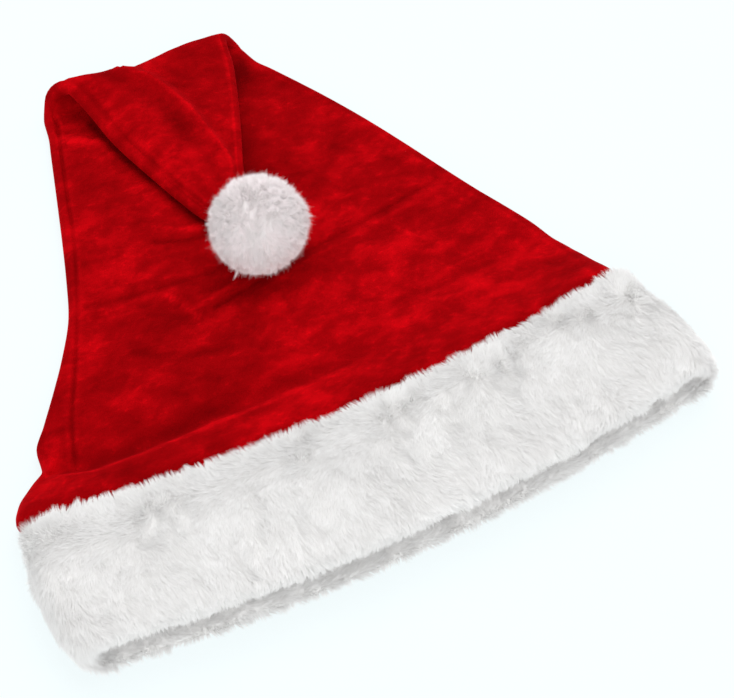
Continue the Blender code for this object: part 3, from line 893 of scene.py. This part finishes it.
def tip_relief(points, width, across, column):
    """Rise of the folded tip's upper side over its plain form, and the painted light and shade there."""
    turned = smooth_step(*TIP_RELIEF_TURNS, column["turn"])
    inwards = (across + 1.0) / 2.0 * width
    seam = seam_profile(inwards - TIP_SEAM_INWARDS) * TIP_SEAM_SHARE
    from_crest = (across - column["ridge"]) / 2.0 * width
    crest = bell(from_crest, CREST_HALF_WIDTH) * smooth_step(*CREST_ROLLS, column["roll"])
    valley = bell(from_crest + VALLEY_PLACE, VALLEY_HALF_WIDTH)
    valley = valley * smooth_step(*VALLEY_ROLLS, column["roll"])
    painted_light_left_of_roll = smooth_step(*LEFT_OF_ROLL_START, across) * smooth_step(*LEFT_OF_ROLL_END, across)
    gathers = np.cos(across * GATHER_WAVES + GATHER_SHIFT) * GATHER_HEIGHT
    gathers = gathers * smooth_step(*GATHER_FADE, points[..., 1])
    uneven = lumps(points, TIP_LUMPS, seed=9.0)
    rise = seam + gathers + crest * CREST_HEIGHT - valley * VALLEY_DEPTH + uneven
    rise = np.maximum(rise, LOWEST_RELIEF) * smooth_step(*RELIEF_FADE, np.abs(across))
    # Painted light and shade: the seam's groove and the valley darker, its puffs, the gathers' ridges, the
    # crest and the strip left of the roll lighter.
    tone = seam + gathers * GATHER_PAINTED_SHADING + crest * CREST_PAINTED_HIGHLIGHT - valley * VALLEY_PAINTED_SHADE
    tone = tone + painted_light_left_of_roll * LEFT_OF_ROLL_PAINTED_LIGHT
    # Painted highlight along the right edge of the folded tip.
    tone = tone + TIP_RIM_PAINTED_HIGHLIGHT * smooth_step(TIP_RIM_START, 1.0, across)
    return rise * turned, tone * turned


def around_steps():
    """Steps round the crown, as a side and a share of it, with more of them beside the seam."""
    seam_steps = int(FRONT_STEPS * SEAM_STEPS_SHARE)
    shares = np.concatenate((
        np.linspace(0.0, SEAM_WIDTH_SHARE, seam_steps, endpoint=False),
        np.linspace(SEAM_WIDTH_SHARE, 1.0, FRONT_STEPS - seam_steps, endpoint=False),
    ))
    ends = np.linspace(0.0, 1.0, END_STEPS, endpoint=False)
    back = np.linspace(0.0, 1.0, BACK_STEPS, endpoint=False)
    side = np.repeat([0, 1, 2, 3], [FRONT_STEPS, END_STEPS, BACK_STEPS, END_STEPS])
    return side, np.concatenate((shares, ends, back, ends))


def crown_grid(table, places, inset):
    """Points of the crown, a row for each cross-section, and the painted light and shade at each."""
    rows = read_table(table, range(len(table)), places)
    column = {name: rows[:, k][:, None] for k, name in enumerate(Section._fields)}
    left = rows[:, None, 0:3]
    right = rows[:, None, 3:6]
    width = unit(right - left)
    turn = np.radians(column["turn"])[..., None]
    front = np.concatenate((np.zeros_like(turn), -np.sin(turn), np.cos(turn)), axis=2)
    front = unit(front - width * np.sum(front * width, axis=2, keepdims=True))
    half_edge = column["edge"] / 2.0
    left_end = left + width * half_edge[..., None]
    right_end = right - width * half_edge[..., None]
    radius = half_edge - inset
    side, share = around_steps()
    across = by_side(side, 2.0 * share - 1.0, 1.0, 1.0 - 2.0 * share, -1.0)
    across = np.broadcast_to(across, (len(rows), len(side)))
    base = left_end + (right_end - left_end) * ((across + 1.0) / 2.0)[..., None]
    hump = 1.0 - across**2
    rise = smooth_step(*ROLL_START, across)
    drop = 1.0 - smooth_step(column["ridge"], column["ridge"] + ROLL_DROP_SHARE, across)
    front_rise = radius + column["front_dome"] * hump
    back_rise = radius + column["back_dome"] * hump + column["roll"] * rise * drop
    tone = np.zeros(across.shape)
    if inset == 0.0:
        across_mm = np.linalg.norm(right - left, axis=2)
        flat_rise, flat_tone = front_relief(base, across)
        on_body = smooth_step(*BODY_RELIEF_TURNS, column["turn"])
        back_extra, back_tone = tip_relief(base, across_mm, across, column)
        front_rise = front_rise + flat_rise * on_body
        back_rise = back_rise + back_extra
        tone = by_side(side, flat_tone * on_body, 0.0, back_tone, 0.0)
    else:
        depth, _ = hem_crease(base[..., 0], base[..., 1])
        front_rise = front_rise - depth * smooth_step(*CREASE_FADE, np.abs(across)) * (column["turn"] < 1.0)
    up = radius * np.cos(np.pi * share)
    outwards = radius * np.sin(np.pi * share)
    on_front = by_side(side, front_rise, up, -back_rise, -up)
    on_width = by_side(side, 0.0, outwards, 0.0, -outwards)
    points = base + front * on_front[..., None] + width * on_width[..., None]
    dip = FOLD_DIP * bell(points[..., 0] - FOLD_DIP_X, FOLD_DIP_HALF_WIDTH)
    dip = dip * smooth_step(RIGHT_PIVOT.y - FOLD_DIP_RUN, RIGHT_PIVOT.y, points[..., 1])
    points[..., 1] -= bow_at(points[..., 0], column["bow"]) + dip
    return points, tone


def grid_faces(rows, columns, start):
    """Quads of a grid that closes round on itself, its first point at start."""
    first = start + np.arange(rows - 1)[:, None] * columns + np.arange(columns)[None, :]
    second = start + np.arange(rows - 1)[:, None] * columns + (np.arange(columns) + 1)[None, :] % columns
    return np.stack((first, second, second + columns, first + columns), axis=2).reshape(-1, 4)


def build_mesh(name, points, quads=(), triangles=(), normals=None):
    """A mesh from arrays, in millimetres and hat places, made in metres in the frame.

    normals, where given, has one for each corner of each face.
    """
    quads = np.asarray(quads, np.int32).reshape(-1, 4)
    triangles = np.asarray(triangles, np.int32).reshape(-1, 3)
    mesh = bpy.data.meshes.new(name)
    mesh.vertices.add(len(points))
    mesh.vertices.foreach_set("co", ((points - HAT_CENTRE) * METRES_PER_MM).astype(np.float32).ravel())
    corners = np.concatenate((quads.ravel(), triangles.ravel()))
    starts = np.concatenate((np.arange(len(quads)) * 4, len(quads) * 4 + np.arange(len(triangles)) * 3))
    mesh.loops.add(len(corners))
    mesh.loops.foreach_set("vertex_index", corners)
    mesh.polygons.add(len(starts))
    mesh.polygons.foreach_set("loop_start", starts.astype(np.int32))
    mesh.update(calc_edges=True)
    mesh.validate()
    mesh.shade_smooth()
    if normals is not None:
        mesh.normals_split_custom_set(unit(normals).astype(np.float32))
    return mesh


def add_piece(mesh, material):
    piece = bpy.data.objects.new(mesh.name, mesh)
    bpy.context.scene.collection.objects.link(piece)
    mesh.materials.append(material)
    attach(piece, "root")
    return piece


def set_tone(mesh, name, values):
    attribute = mesh.attributes.new(name, "FLOAT", "POINT")
    attribute.data.foreach_set("value", np.asarray(values, np.float32).ravel())


def facing_out(points, quads):
    """Whether the closed surface's quads point outwards."""
    a, b, c, d = (points[quads[:, k]] for k in range(4))
    return float((a * np.cross(b, c)).sum() + (a * np.cross(c, d)).sum()) > 0.0


def crown_mesh():
    table = crown_table()
    outer, tone = crown_grid(table, even_places(table, CROWN_ROW_STEP), 0.0)
    inner, _ = crown_grid(table, even_places(table, CROWN_INNER_ROW_STEP), VELVET)
    columns = outer.shape[1]
    outer_count = outer.shape[0] * columns
    inner_count = inner.shape[0] * columns
    outer_peak = outer[-1].mean(axis=0) - (0.0, TIP_CAP, 0.0)
    inner_peak = inner[-1].mean(axis=0) - (0.0, TIP_CAP - VELVET, 0.0)
    points = np.concatenate((outer.reshape(-1, 3), inner.reshape(-1, 3), (outer_peak, inner_peak)))
    step = np.arange(columns)
    after = (step + 1) % columns
    hem = np.stack((outer_count + step, outer_count + after, after, step), axis=1)
    quads = np.concatenate((
        grid_faces(outer.shape[0], columns, 0),
        grid_faces(inner.shape[0], columns, outer_count)[:, ::-1],
        hem,
    ))
    last_outer = outer_count - columns
    last_inner = outer_count + inner_count - columns
    peak = np.full(columns, outer_count + inner_count)
    triangles = np.concatenate((
        np.stack((last_outer + step, last_outer + after, peak), axis=1),
        np.stack((last_inner + after, last_inner + step, peak + 1), axis=1),
    ))
    if not facing_out(points, quads):
        quads = quads[:, ::-1]
        triangles = triangles[:, ::-1]
    mesh = build_mesh("velvet_crown", points, quads, triangles)
    tone = np.concatenate((tone.ravel(), np.zeros(inner_count + 2)))
    # Painted light and shade of the outside's creases, seams, rims and beside the tip.
    set_tone(mesh, "relief", np.clip(tone, -STRONGEST_TONE, STRONGEST_TONE))
    return mesh


def loop_place(around):
    """Places round the flattened loop, from 0 to 4: whether each is in front, as 1, or behind, as -1,
    its share of the way across, and how far it has turned round an end.
    """
    side = np.floor(around).astype(int) % 4
    share = around - np.floor(around)
    across = by_side(side, share, 1.0, 1.0 - share, 0.0)
    turn = np.where((side == 1) | (side == 3), np.pi * share, 0.0)
    return np.where(side >= 2, -1.0, 1.0), across, turn


def band_profile(along):
    """The band's cross-section at a distance over its skin from the slot, as (down, out)."""
    return read_table(BAND_ROWS, run_along(np.array(BAND_ROWS)), along)


def band_points(around, along):
    """Points on the fur band's skin; around runs 0 to 4, along is in millimetres over the band."""
    down, out = np.moveaxis(band_profile(along), -1, 0)
    widths = read_table(BAND_WIDTHS, [row.down for row in BAND_WIDTHS], np.clip(down, 0.0, BRIM_HEIGHT))
    side, across, turn = loop_place(around)
    radius = LOOP_HALF_HEIGHT + out
    left_end = widths[..., 1] + LOOP_HALF_HEIGHT
    right_end = widths[..., 2] - LOOP_HALF_HEIGHT
    x = left_end + (right_end - left_end) * across + side * radius * np.sin(turn)
    z = LOOP_CENTRE_Z + side * radius * np.cos(turn)
    under = UNDER_LIP * smooth_step(0.0, BRIM_HEIGHT, down)
    under = under * smooth_step(LOOP_CENTRE_Z, LOOP_CENTRE_Z - LOOP_HALF_HEIGHT, z)
    y = FUR_END_Y - bow_at(x, BAND_BOW) - down - under
    return np.stack((x, y, np.maximum(z, SKIN_FLOOR_GAP)), axis=-1)


def band_directions(around, along):
    """Outward directions of the band's skin, and its direction towards the crown."""
    step = 0.4
    turn_step = 0.002
    over = band_points(around, along + step) - band_points(around, along - step)
    round_it = band_points(around + turn_step, along) - band_points(around - turn_step, along)
    return unit(np.cross(over, round_it)), unit(-over)


def spikes(roots, tips, facing, widths, shade):
    """Three-sided spikes, shaded softly: their upper sides as if they faced the way given.

    Gives their points, triangles, a normal for each triangle's corner, and how near each point is to
    the tip, as a tone.
    """
    along = unit(tips - roots)
    across = unit(np.cross(facing, along))
    lift = np.cross(along, across)
    half = across * widths[:, None] / 2.0
    back = roots + lift * widths[:, None] * 0.5
    points = np.stack((roots - half, roots + half, back, tips), axis=1)
    sides = np.array(((0, 1, 3), (0, 3, 2), (1, 2, 3)))
    triangles = (np.arange(len(roots))[:, None, None] * 4 + sides[None]).reshape(-1, 3)
    under = [along * 0.7 - lift] * 3
    left = facing - across * 0.5
    right = facing + across * 0.5
    top = facing + lift * 0.3
    normals = np.stack((*under, left, facing, top, right, top, facing), axis=1)
    tone = shade[:, None] * np.array(SPIKE_TONES)
    return points.reshape(-1, 3), triangles, normals.reshape(-1, 3), tone.ravel()


def sway_field(places, size, seed):
    """Soft noise at each place, in two channels."""
    first = Vector((seed, 0.0, 0.0))
    second = Vector((0.0, seed, 7.3))
    return np.array([
        (noise.noise(Vector(place) / size + first), noise.noise(Vector(place) / size + second))
        for place in places
    ])


def pile_mesh(name, parts):
    """Join several lots of strands into one mesh."""
    points, triangles, normals, tone = zip(*parts)
    starts = np.cumsum([0] + [len(lot) for lot in points[:-1]])
    shifted = [lot + start for lot, start in zip(triangles, starts)]
    mesh = build_mesh(
        name, np.concatenate(points), triangles=np.concatenate(shifted), normals=np.concatenate(normals)
    )
    set_tone(mesh, "height", np.concatenate(tone))
    return mesh


def clump_places(around, along, lengths, rng):
    """The middle of the tuft that each strand belongs to, and a few chances that it shares with it."""
    columns = np.floor(around * lengths / CLUMP_SIZE).astype(int)
    rows = np.floor(along / CLUMP_SIZE).astype(int)
    chances = rng.random((columns.max() + 1, rows.max() + 1, 5))[columns, rows]
    middle_around = (columns + chances[:, 0]) * CLUMP_SIZE / lengths
    middle_along = (rows + chances[:, 1]) * CLUMP_SIZE
    return middle_around, middle_along, chances[:, 2:]


def wander(amount, broad, tufts, rng):
    return broad * amount.broad + tufts * amount.tuft + rng.normal(size=len(tufts)) * amount.strand


def band_strands(patch, rng, density, width):
    """Strands over one patch of the band, gathered into small tufts."""
    count = int(patch.strands * density)
    around = patch.around[0] + (patch.around[1] - patch.around[0]) * rng.random(count)
    along = patch.along[0] + (patch.along[1] - patch.along[0]) * rng.random(count)
    roots = band_points(around, along)
    skin, to_crown = band_directions(around, along)
    sideways = np.cross(skin, to_crown)
    nap = read_table(NAP_ROWS, [row.along for row in NAP_ROWS], along)
    lean, side, lift, length, clump = (nap[:, k] for k in range(1, 6))
    quarter = np.floor(around).astype(int)
    at_end = np.where(quarter % 2 == 1, 1.0, 0.0)
    side = side * (1.0 - at_end)
    quarter_length = np.where(quarter % 2 == 1, BAND_END_LENGTH, HEM_RIGHT - HEM_LEFT)
    middle_around, middle_along, chance = clump_places(around, along, quarter_length, rng)
    middle = band_points(middle_around, middle_along)
    broad = sway_field(roots, SWAY_SIZE, seed=3.0)
    tufts = sway_field(middle, TUFT_SIZE, seed=5.0)
    sway = side + wander(SIDE_WANDER, broad[:, 0], tufts[:, 0], rng)
    lean = lean + wander(LEAN_WANDER, broad[:, 1], tufts[:, 1], rng)
    lift = lift * rng.uniform(*BAND_LIFTS, count) * (1.0 + tufts[:, 1] * TUFT_LIFT)
    way = unit(skin * lift[:, None] + to_crown * lean[:, None] + sideways * sway[:, None])
    uneven = 1.0 + tufts[:, 0] * TUFT_LENGTH + (chance[:, 0] - 0.5) * CLUMP_LENGTH * clump
    below = np.where(quarter == 2, UNDER_PILE, 1.0)
    reach = length * rng.uniform(*BAND_LENGTHS, count) * uneven * below
    tips = roots + way * reach[:, None]
    pull = (clump * rng.uniform(*STRAND_PULLS, count))[:, None]
    tips += (middle + way * reach[:, None] - tips) * pull
    tips[:, 2] = np.maximum(tips[:, 2], rng.uniform(*FLOOR_GAP, count))
    facing = skin + to_crown * (tufts[:, 1] * FACING_CROWN)[:, None]
    facing = facing + sideways * (tufts[:, 0] * FACING_SIDEWAYS)[:, None]
    facing = unit(facing + rng.normal(size=facing.shape) * FACING_SHAKE)
    lit_from_above = np.maximum(smooth_step(*MOUTH_START, along), at_end)
    facing[:, 2] += np.maximum(LIT_FACING_UP - facing[:, 2], 0.0) * lit_from_above
    shade = WHITENESS + tufts[:, 1] * TUFT_WHITENESS + (chance[:, 1] - 0.5) * CLUMP_WHITENESS
    widths = width * rng.uniform(*STRAND_WIDTHS, count)
    return spikes(roots - skin * BAND_ROOT_DEPTH, tips, facing, widths, np.clip(shade, DARKEST, 1.0))


def band_mesh():
    """The fur band's skin under its pile."""
    along = np.linspace(0.0, run_along(np.array(BAND_ROWS))[-1], BAND_ACROSS_STEPS)
    flat = BAND_AROUND_STEPS // 2 - END_STEPS
    around = np.concatenate([
        side + np.linspace(0.0, 1.0, count, endpoint=False)
        for side, count in enumerate((flat, END_STEPS, flat, END_STEPS))
    ])
    points = band_points(*np.broadcast_arrays(around, along[:, None]))
    columns = len(around)
    quads = grid_faces(len(along), columns, 0)
    step = np.arange(columns)
    after = (step + 1) % columns
    last = (len(along) - 1) * columns
    quads = np.concatenate((quads, np.stack((last + step, last + after, after, step), axis=1)))
    points = points.reshape(-1, 3)
    if not facing_out(points, quads):
        quads = quads[:, ::-1]
    mesh = build_mesh("fur_band", points, quads)
    # The skin is painted grey, as shade under the pile.
    set_tone(mesh, "height", np.full(len(points), 0.25))
    return mesh


def tuft_reach(directions):
    """How much further the pompom's pile reaches where a tuft of it stands out."""
    reach = np.zeros(len(directions))
    for tuft in POMPOM_TUFTS:
        axis = unit(np.array((tuft.x, tuft.y, tuft.z)))
        angle = np.degrees(np.arccos(np.clip(directions @ axis, -1.0, 1.0)))
        reach += tuft.reach * (1.0 - smooth_step(0.0, tuft.half_angle, angle))
    return reach


def crown_surface():
    """The crown's solid as a tree to aim at, in millimetres and hat places."""
    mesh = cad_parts["crown"].data
    corners = [Vector(tuple(np.array(v.co) / METRES_PER_MM + HAT_CENTRE)) for v in mesh.vertices]
    return BVHTree.FromPolygons(corners, [tuple(face.vertices) for face in mesh.polygons])


def room_in_crown(surface, directions, furthest):
    """How far each direction runs from the pompom's centre before it meets the crown."""
    centre = Vector(POMPOM_CENTRE)
    room = np.full(len(directions), furthest)
    for k, direction in enumerate(directions):
        distance = surface.ray_cast(centre, Vector(direction), furthest)[3]
        if distance is not None:
            room[k] = distance
    return room


def ball_directions(count, rng):
    """Directions spread evenly over a ball, a little shaken."""
    k = np.arange(count) + 0.5
    height = 1.0 - 2.0 * k / count
    angle = math.pi * (1.0 + math.sqrt(5.0)) * k
    flat = np.sqrt(1.0 - height**2)
    directions = np.stack((flat * np.cos(angle), flat * np.sin(angle), height), axis=1)
    return unit(directions + rng.normal(size=directions.shape) * 0.6 / math.sqrt(count))


def pompom_heart_mesh(surface):
    """The ball of packed pile under the pompom's tips."""
    bpy.ops.mesh.primitive_ico_sphere_add(subdivisions=5, radius=1.0)
    ball = bpy.context.active_object
    directions = np.empty(len(ball.data.vertices) * 3)
    ball.data.vertices.foreach_get("co", directions)
    directions = unit(directions.reshape(-1, 3))
    room = room_in_crown(surface, directions, POMPOM_HEART + POMPOM_ROOM)
    uneven = np.array([noise.noise(Vector(direction) * HEART_LUMP_SCALE) for direction in directions])
    uneven = uneven * HEART_LUMP_HEIGHT
    radius = np.minimum(POMPOM_HEART + tuft_reach(directions) + uneven, room - POMPOM_GAP)
    points = POMPOM_CENTRE + directions * radius[:, None]
    faces = np.array([tuple(face.vertices) for face in ball.data.polygons])
    bpy.data.objects.remove(ball, do_unlink=True)
    mesh = build_mesh("pompom_heart", points, triangles=faces)
    # The heart is painted grey, as shade under the pile.
    set_tone(mesh, "height", np.full(len(points), 0.35))
    return mesh


def pompom_strands(surface, count, length, width, rng):
    """Fine strands all over the ball, swept down and outwards in soft tufts."""
    directions = ball_directions(count, rng)
    tufts = ball_directions(POMPOM_TUFT_COUNT, rng)
    nearest = np.concatenate([
        np.argmax(directions[k : k + MATCHED_AT_ONCE] @ tufts.T, axis=1)
        for k in range(0, count, MATCHED_AT_ONCE)
    ])
    tuft_shake = rng.normal(size=(len(tufts), 3))[nearest]
    tuft_length = rng.uniform(*POMPOM_TUFT_LENGTHS, len(tufts))[nearest]
    room = room_in_crown(surface, directions, POMPOM_HEART + POMPOM_ROOM)
    inner = np.minimum(POMPOM_HEART + tuft_reach(directions), room) - ROOT_DEPTH
    roots = POMPOM_CENTRE + directions * inner[:, None]
    field = sway_field(roots, POMPOM_SWAY_SIZE, seed=2.0)
    sweep = np.array(POMPOM_SWEEP) + np.pad(field, ((0, 0), (0, 1)))
    sweep = sweep - directions * np.sum(sweep * directions, axis=1, keepdims=True)
    reach = length * tuft_length * rng.uniform(*POMPOM_LENGTHS, count) + ROOT_DEPTH
    stray = rng.random(count) < POMPOM_STRAYS
    reach = np.where(stray, reach * STRAY_LENGTH, reach)
    reach = np.minimum(reach, np.maximum(room - inner - STRAND_GAP, SHORTEST_STRAND))
    way = directions * np.where(stray, STRAY_STAND, STRAND_STAND)[:, None]
    way = way + sweep * SWEEP_SHARE + tuft_shake * TUFT_SHAKE
    way = unit(way + rng.normal(size=directions.shape) * STRAND_SHAKE)
    tips = roots + way * reach[:, None]
    gathered = POMPOM_CENTRE + tufts[nearest] * inner[:, None] + way * reach[:, None]
    pull = np.where(stray, 0.0, POMPOM_PULL) * rng.uniform(*STRAND_PULLS, count)
    tips += (gathered - tips) * pull[:, None]
    widths = width * rng.uniform(*STRAND_WIDTHS, count) * np.where(stray, STRAY_WIDTH, 1.0)
    shake = tuft_shake * STRAND_SHAKE + rng.normal(size=directions.shape) * STRAND_SHAKE
    shade = WHITENESS + field[:, 0] * TUFT_WHITENESS + tuft_shake[:, 0] * SHAKEN_WHITENESS
    return spikes(roots, tips, unit(directions + shake), widths, np.clip(shade, POMPOM_DARKEST, 1.0))


def stray_lock(width, rng):
    """A thin lock that hangs out of the pompom."""
    way = np.array(STRAY_LOCK.normalized())
    shape = (STRAY_LOCK_STRANDS, 3)
    roots = POMPOM_CENTRE + way * (POMPOM_HEART - STRAY_LOCK_ROOT_DEPTH)
    roots = roots + rng.normal(size=shape) * STRAY_LOCK_ROOT_SPREAD
    reach = (STRAY_LOCK_REACH - POMPOM_HEART) * rng.uniform(*STRAY_LOCK_LENGTHS, STRAY_LOCK_STRANDS)
    tips = roots + way * reach[:, None] + rng.normal(size=shape) * STRAY_LOCK_TIP_SPREAD
    facing = unit(np.tile(-np.array(POMPOM_SWEEP), (STRAY_LOCK_STRANDS, 1)))
    widths = np.full(STRAY_LOCK_STRANDS, width * STRAY_LOCK_WIDTH)
    return spikes(roots, tips, facing, widths, np.ones(STRAY_LOCK_STRANDS))


class HAT_OT_make_crown(bpy.types.Operator):
    """Sew the velvet crown: body, fold and tip in one shell"""

    bl_idname = "santa_hat.make_crown"
    bl_label = "Make Velvet Crown"

    def execute(self, context):
        piece = add_piece(crown_mesh(), velvet_material())
        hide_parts("crown")
        return {"FINISHED"}


class HAT_OT_make_brim(bpy.types.Operator):
    """Make the fur brim: its folded band, and the pile on it"""

    bl_idname = "santa_hat.make_brim"
    bl_label = "Make Fur Brim"

    def execute(self, context):
        look = context.scene.santa_hat_fur
        fur = pile_material("white fur", look.colour, look.root, FUR_PATCHES, look.painted_glow)
        band = add_piece(band_mesh(), fur)
        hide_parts("brim")
        rng = np.random.default_rng(21)
        width = look.width / METRES_PER_MM
        for name, patches in PILES.items():
            parts = [band_strands(patch, rng, look.density, width) for patch in patches]
            add_piece(pile_mesh(name, parts), fur)
        return {"FINISHED"}


class HAT_OT_make_pompom(bpy.types.Operator):
    """Make the fluffy pompom at the end of the tip"""

    bl_idname = "santa_hat.make_pompom"
    bl_label = "Make Pompom"

    def execute(self, context):
        look = context.scene.santa_hat_pompom
        fur = context.scene.santa_hat_fur
        fluff = pile_material("pompom fluff", look.colour, fur.root, POMPOM_PATCHES, fur.painted_glow)
        surface = crown_surface()
        heart = add_piece(pompom_heart_mesh(surface), fluff)
        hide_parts("pompom")
        rng = np.random.default_rng(33)
        count = int(look.strands * fur.density)
        width = look.width / METRES_PER_MM
        pile = pompom_strands(surface, count, look.length / METRES_PER_MM, width, rng)
        add_piece(pile_mesh("pompom_pile", [pile, stray_lock(width, rng)]), fluff)
        return {"FINISHED"}


def add_light(name, place, strength, softness):
    bpy.ops.object.light_add(type="SUN", location=place)
    light = bpy.context.active_object
    light.name = name
    light.data.energy = strength
    light.data.angle = softness
    light.rotation_euler = (-Vector(place)).to_track_quat("-Z", "Y").to_euler()


class HAT_OT_make_stage(bpy.types.Operator):
    """Set out the pale floor, the soft studio light and the camera"""

    bl_idname = "santa_hat.make_stage"
    bl_label = "Make Stage"

    def execute(self, context):
        look = context.scene.santa_hat_stage
        bpy.ops.mesh.primitive_plane_add(size=FLOOR_SIZE, location=(0.0, 0.0, 0.0))
        floor = context.active_object
        floor.name = "floor"
        floor.data.materials.append(stage_material())
        world = bpy.data.worlds.new("studio")
        world.use_nodes = True
        backdrop = world.node_tree.nodes["Background"]
        backdrop.inputs["Color"].default_value = (1.0, 1.0, 1.0, 1.0)
        backdrop.inputs["Strength"].default_value = look.sky
        context.scene.world = world
        add_light("key_light", KEY_LIGHT_FROM, look.key, look.softness)
        add_light("fill_light", FILL_LIGHT_FROM, look.fill, look.softness)
        add_light("rim_light", RIM_LIGHT_FROM, look.rim, look.softness)
        azimuth = math.radians(CAMERA_AZIMUTH)
        elevation = math.radians(CAMERA_ELEVATION)
        back = Vector((
            math.sin(azimuth) * math.cos(elevation),
            -math.cos(azimuth) * math.cos(elevation),
            math.sin(elevation),
        ))
        bpy.ops.object.camera_add(location=Vector(CAMERA_TARGET) + back * look.distance)
        camera = context.active_object
        camera.name = "camera"
        camera.rotation_euler = (-back).to_track_quat("-Z", "Y").to_euler()
        camera.data.lens = look.lens
        camera.data.sensor_width = SENSOR_WIDTH
        context.scene.camera = camera
        context.scene.view_settings.view_transform = "Standard"
        return {"FINISHED"}


class HAT_PT_panel(bpy.types.Panel):
    """Lists the hat's pieces and their settings"""

    bl_idname = "HAT_PT_panel"
    bl_label = "Santa Hat"
    bl_space_type = "VIEW_3D"
    bl_region_type = "UI"
    bl_category = "Santa Hat"

    def draw(self, context):
        for operator in OPERATORS:
            self.layout.operator(operator.bl_idname)
        for group in SETTINGS:
            chosen = getattr(context.scene, group)
            for name in chosen.bl_rna.properties.keys():
                if name not in ("rna_type", "name"):
                    self.layout.prop(chosen, name)


OPERATORS = (HAT_OT_make_stage, HAT_OT_make_crown, HAT_OT_make_brim, HAT_OT_make_pompom)
SETTINGS = {
    "santa_hat_velvet": VelvetSettings,
    "santa_hat_fur": FurSettings,
    "santa_hat_pompom": PompomSettings,
    "santa_hat_stage": StageSettings,
}
CLASSES = (*SETTINGS.values(), *OPERATORS, HAT_PT_panel)


def register():
    for kind in CLASSES:
        bpy.utils.register_class(kind)
    for name, kind in SETTINGS.items():
        setattr(bpy.types.Scene, name, bpy.props.PointerProperty(type=kind))


def unregister():
    for name in SETTINGS:
        delattr(bpy.types.Scene, name)
    for kind in reversed(CLASSES):
        bpy.utils.unregister_class(kind)


def main():
    register()
    bpy.ops.object.select_all(action="DESELECT")
    bpy.ops.santa_hat.make_stage()
    bpy.ops.santa_hat.make_crown()
    bpy.ops.santa_hat.make_brim()
    bpy.ops.santa_hat.make_pompom()


if __name__ == "__main__":
    main()
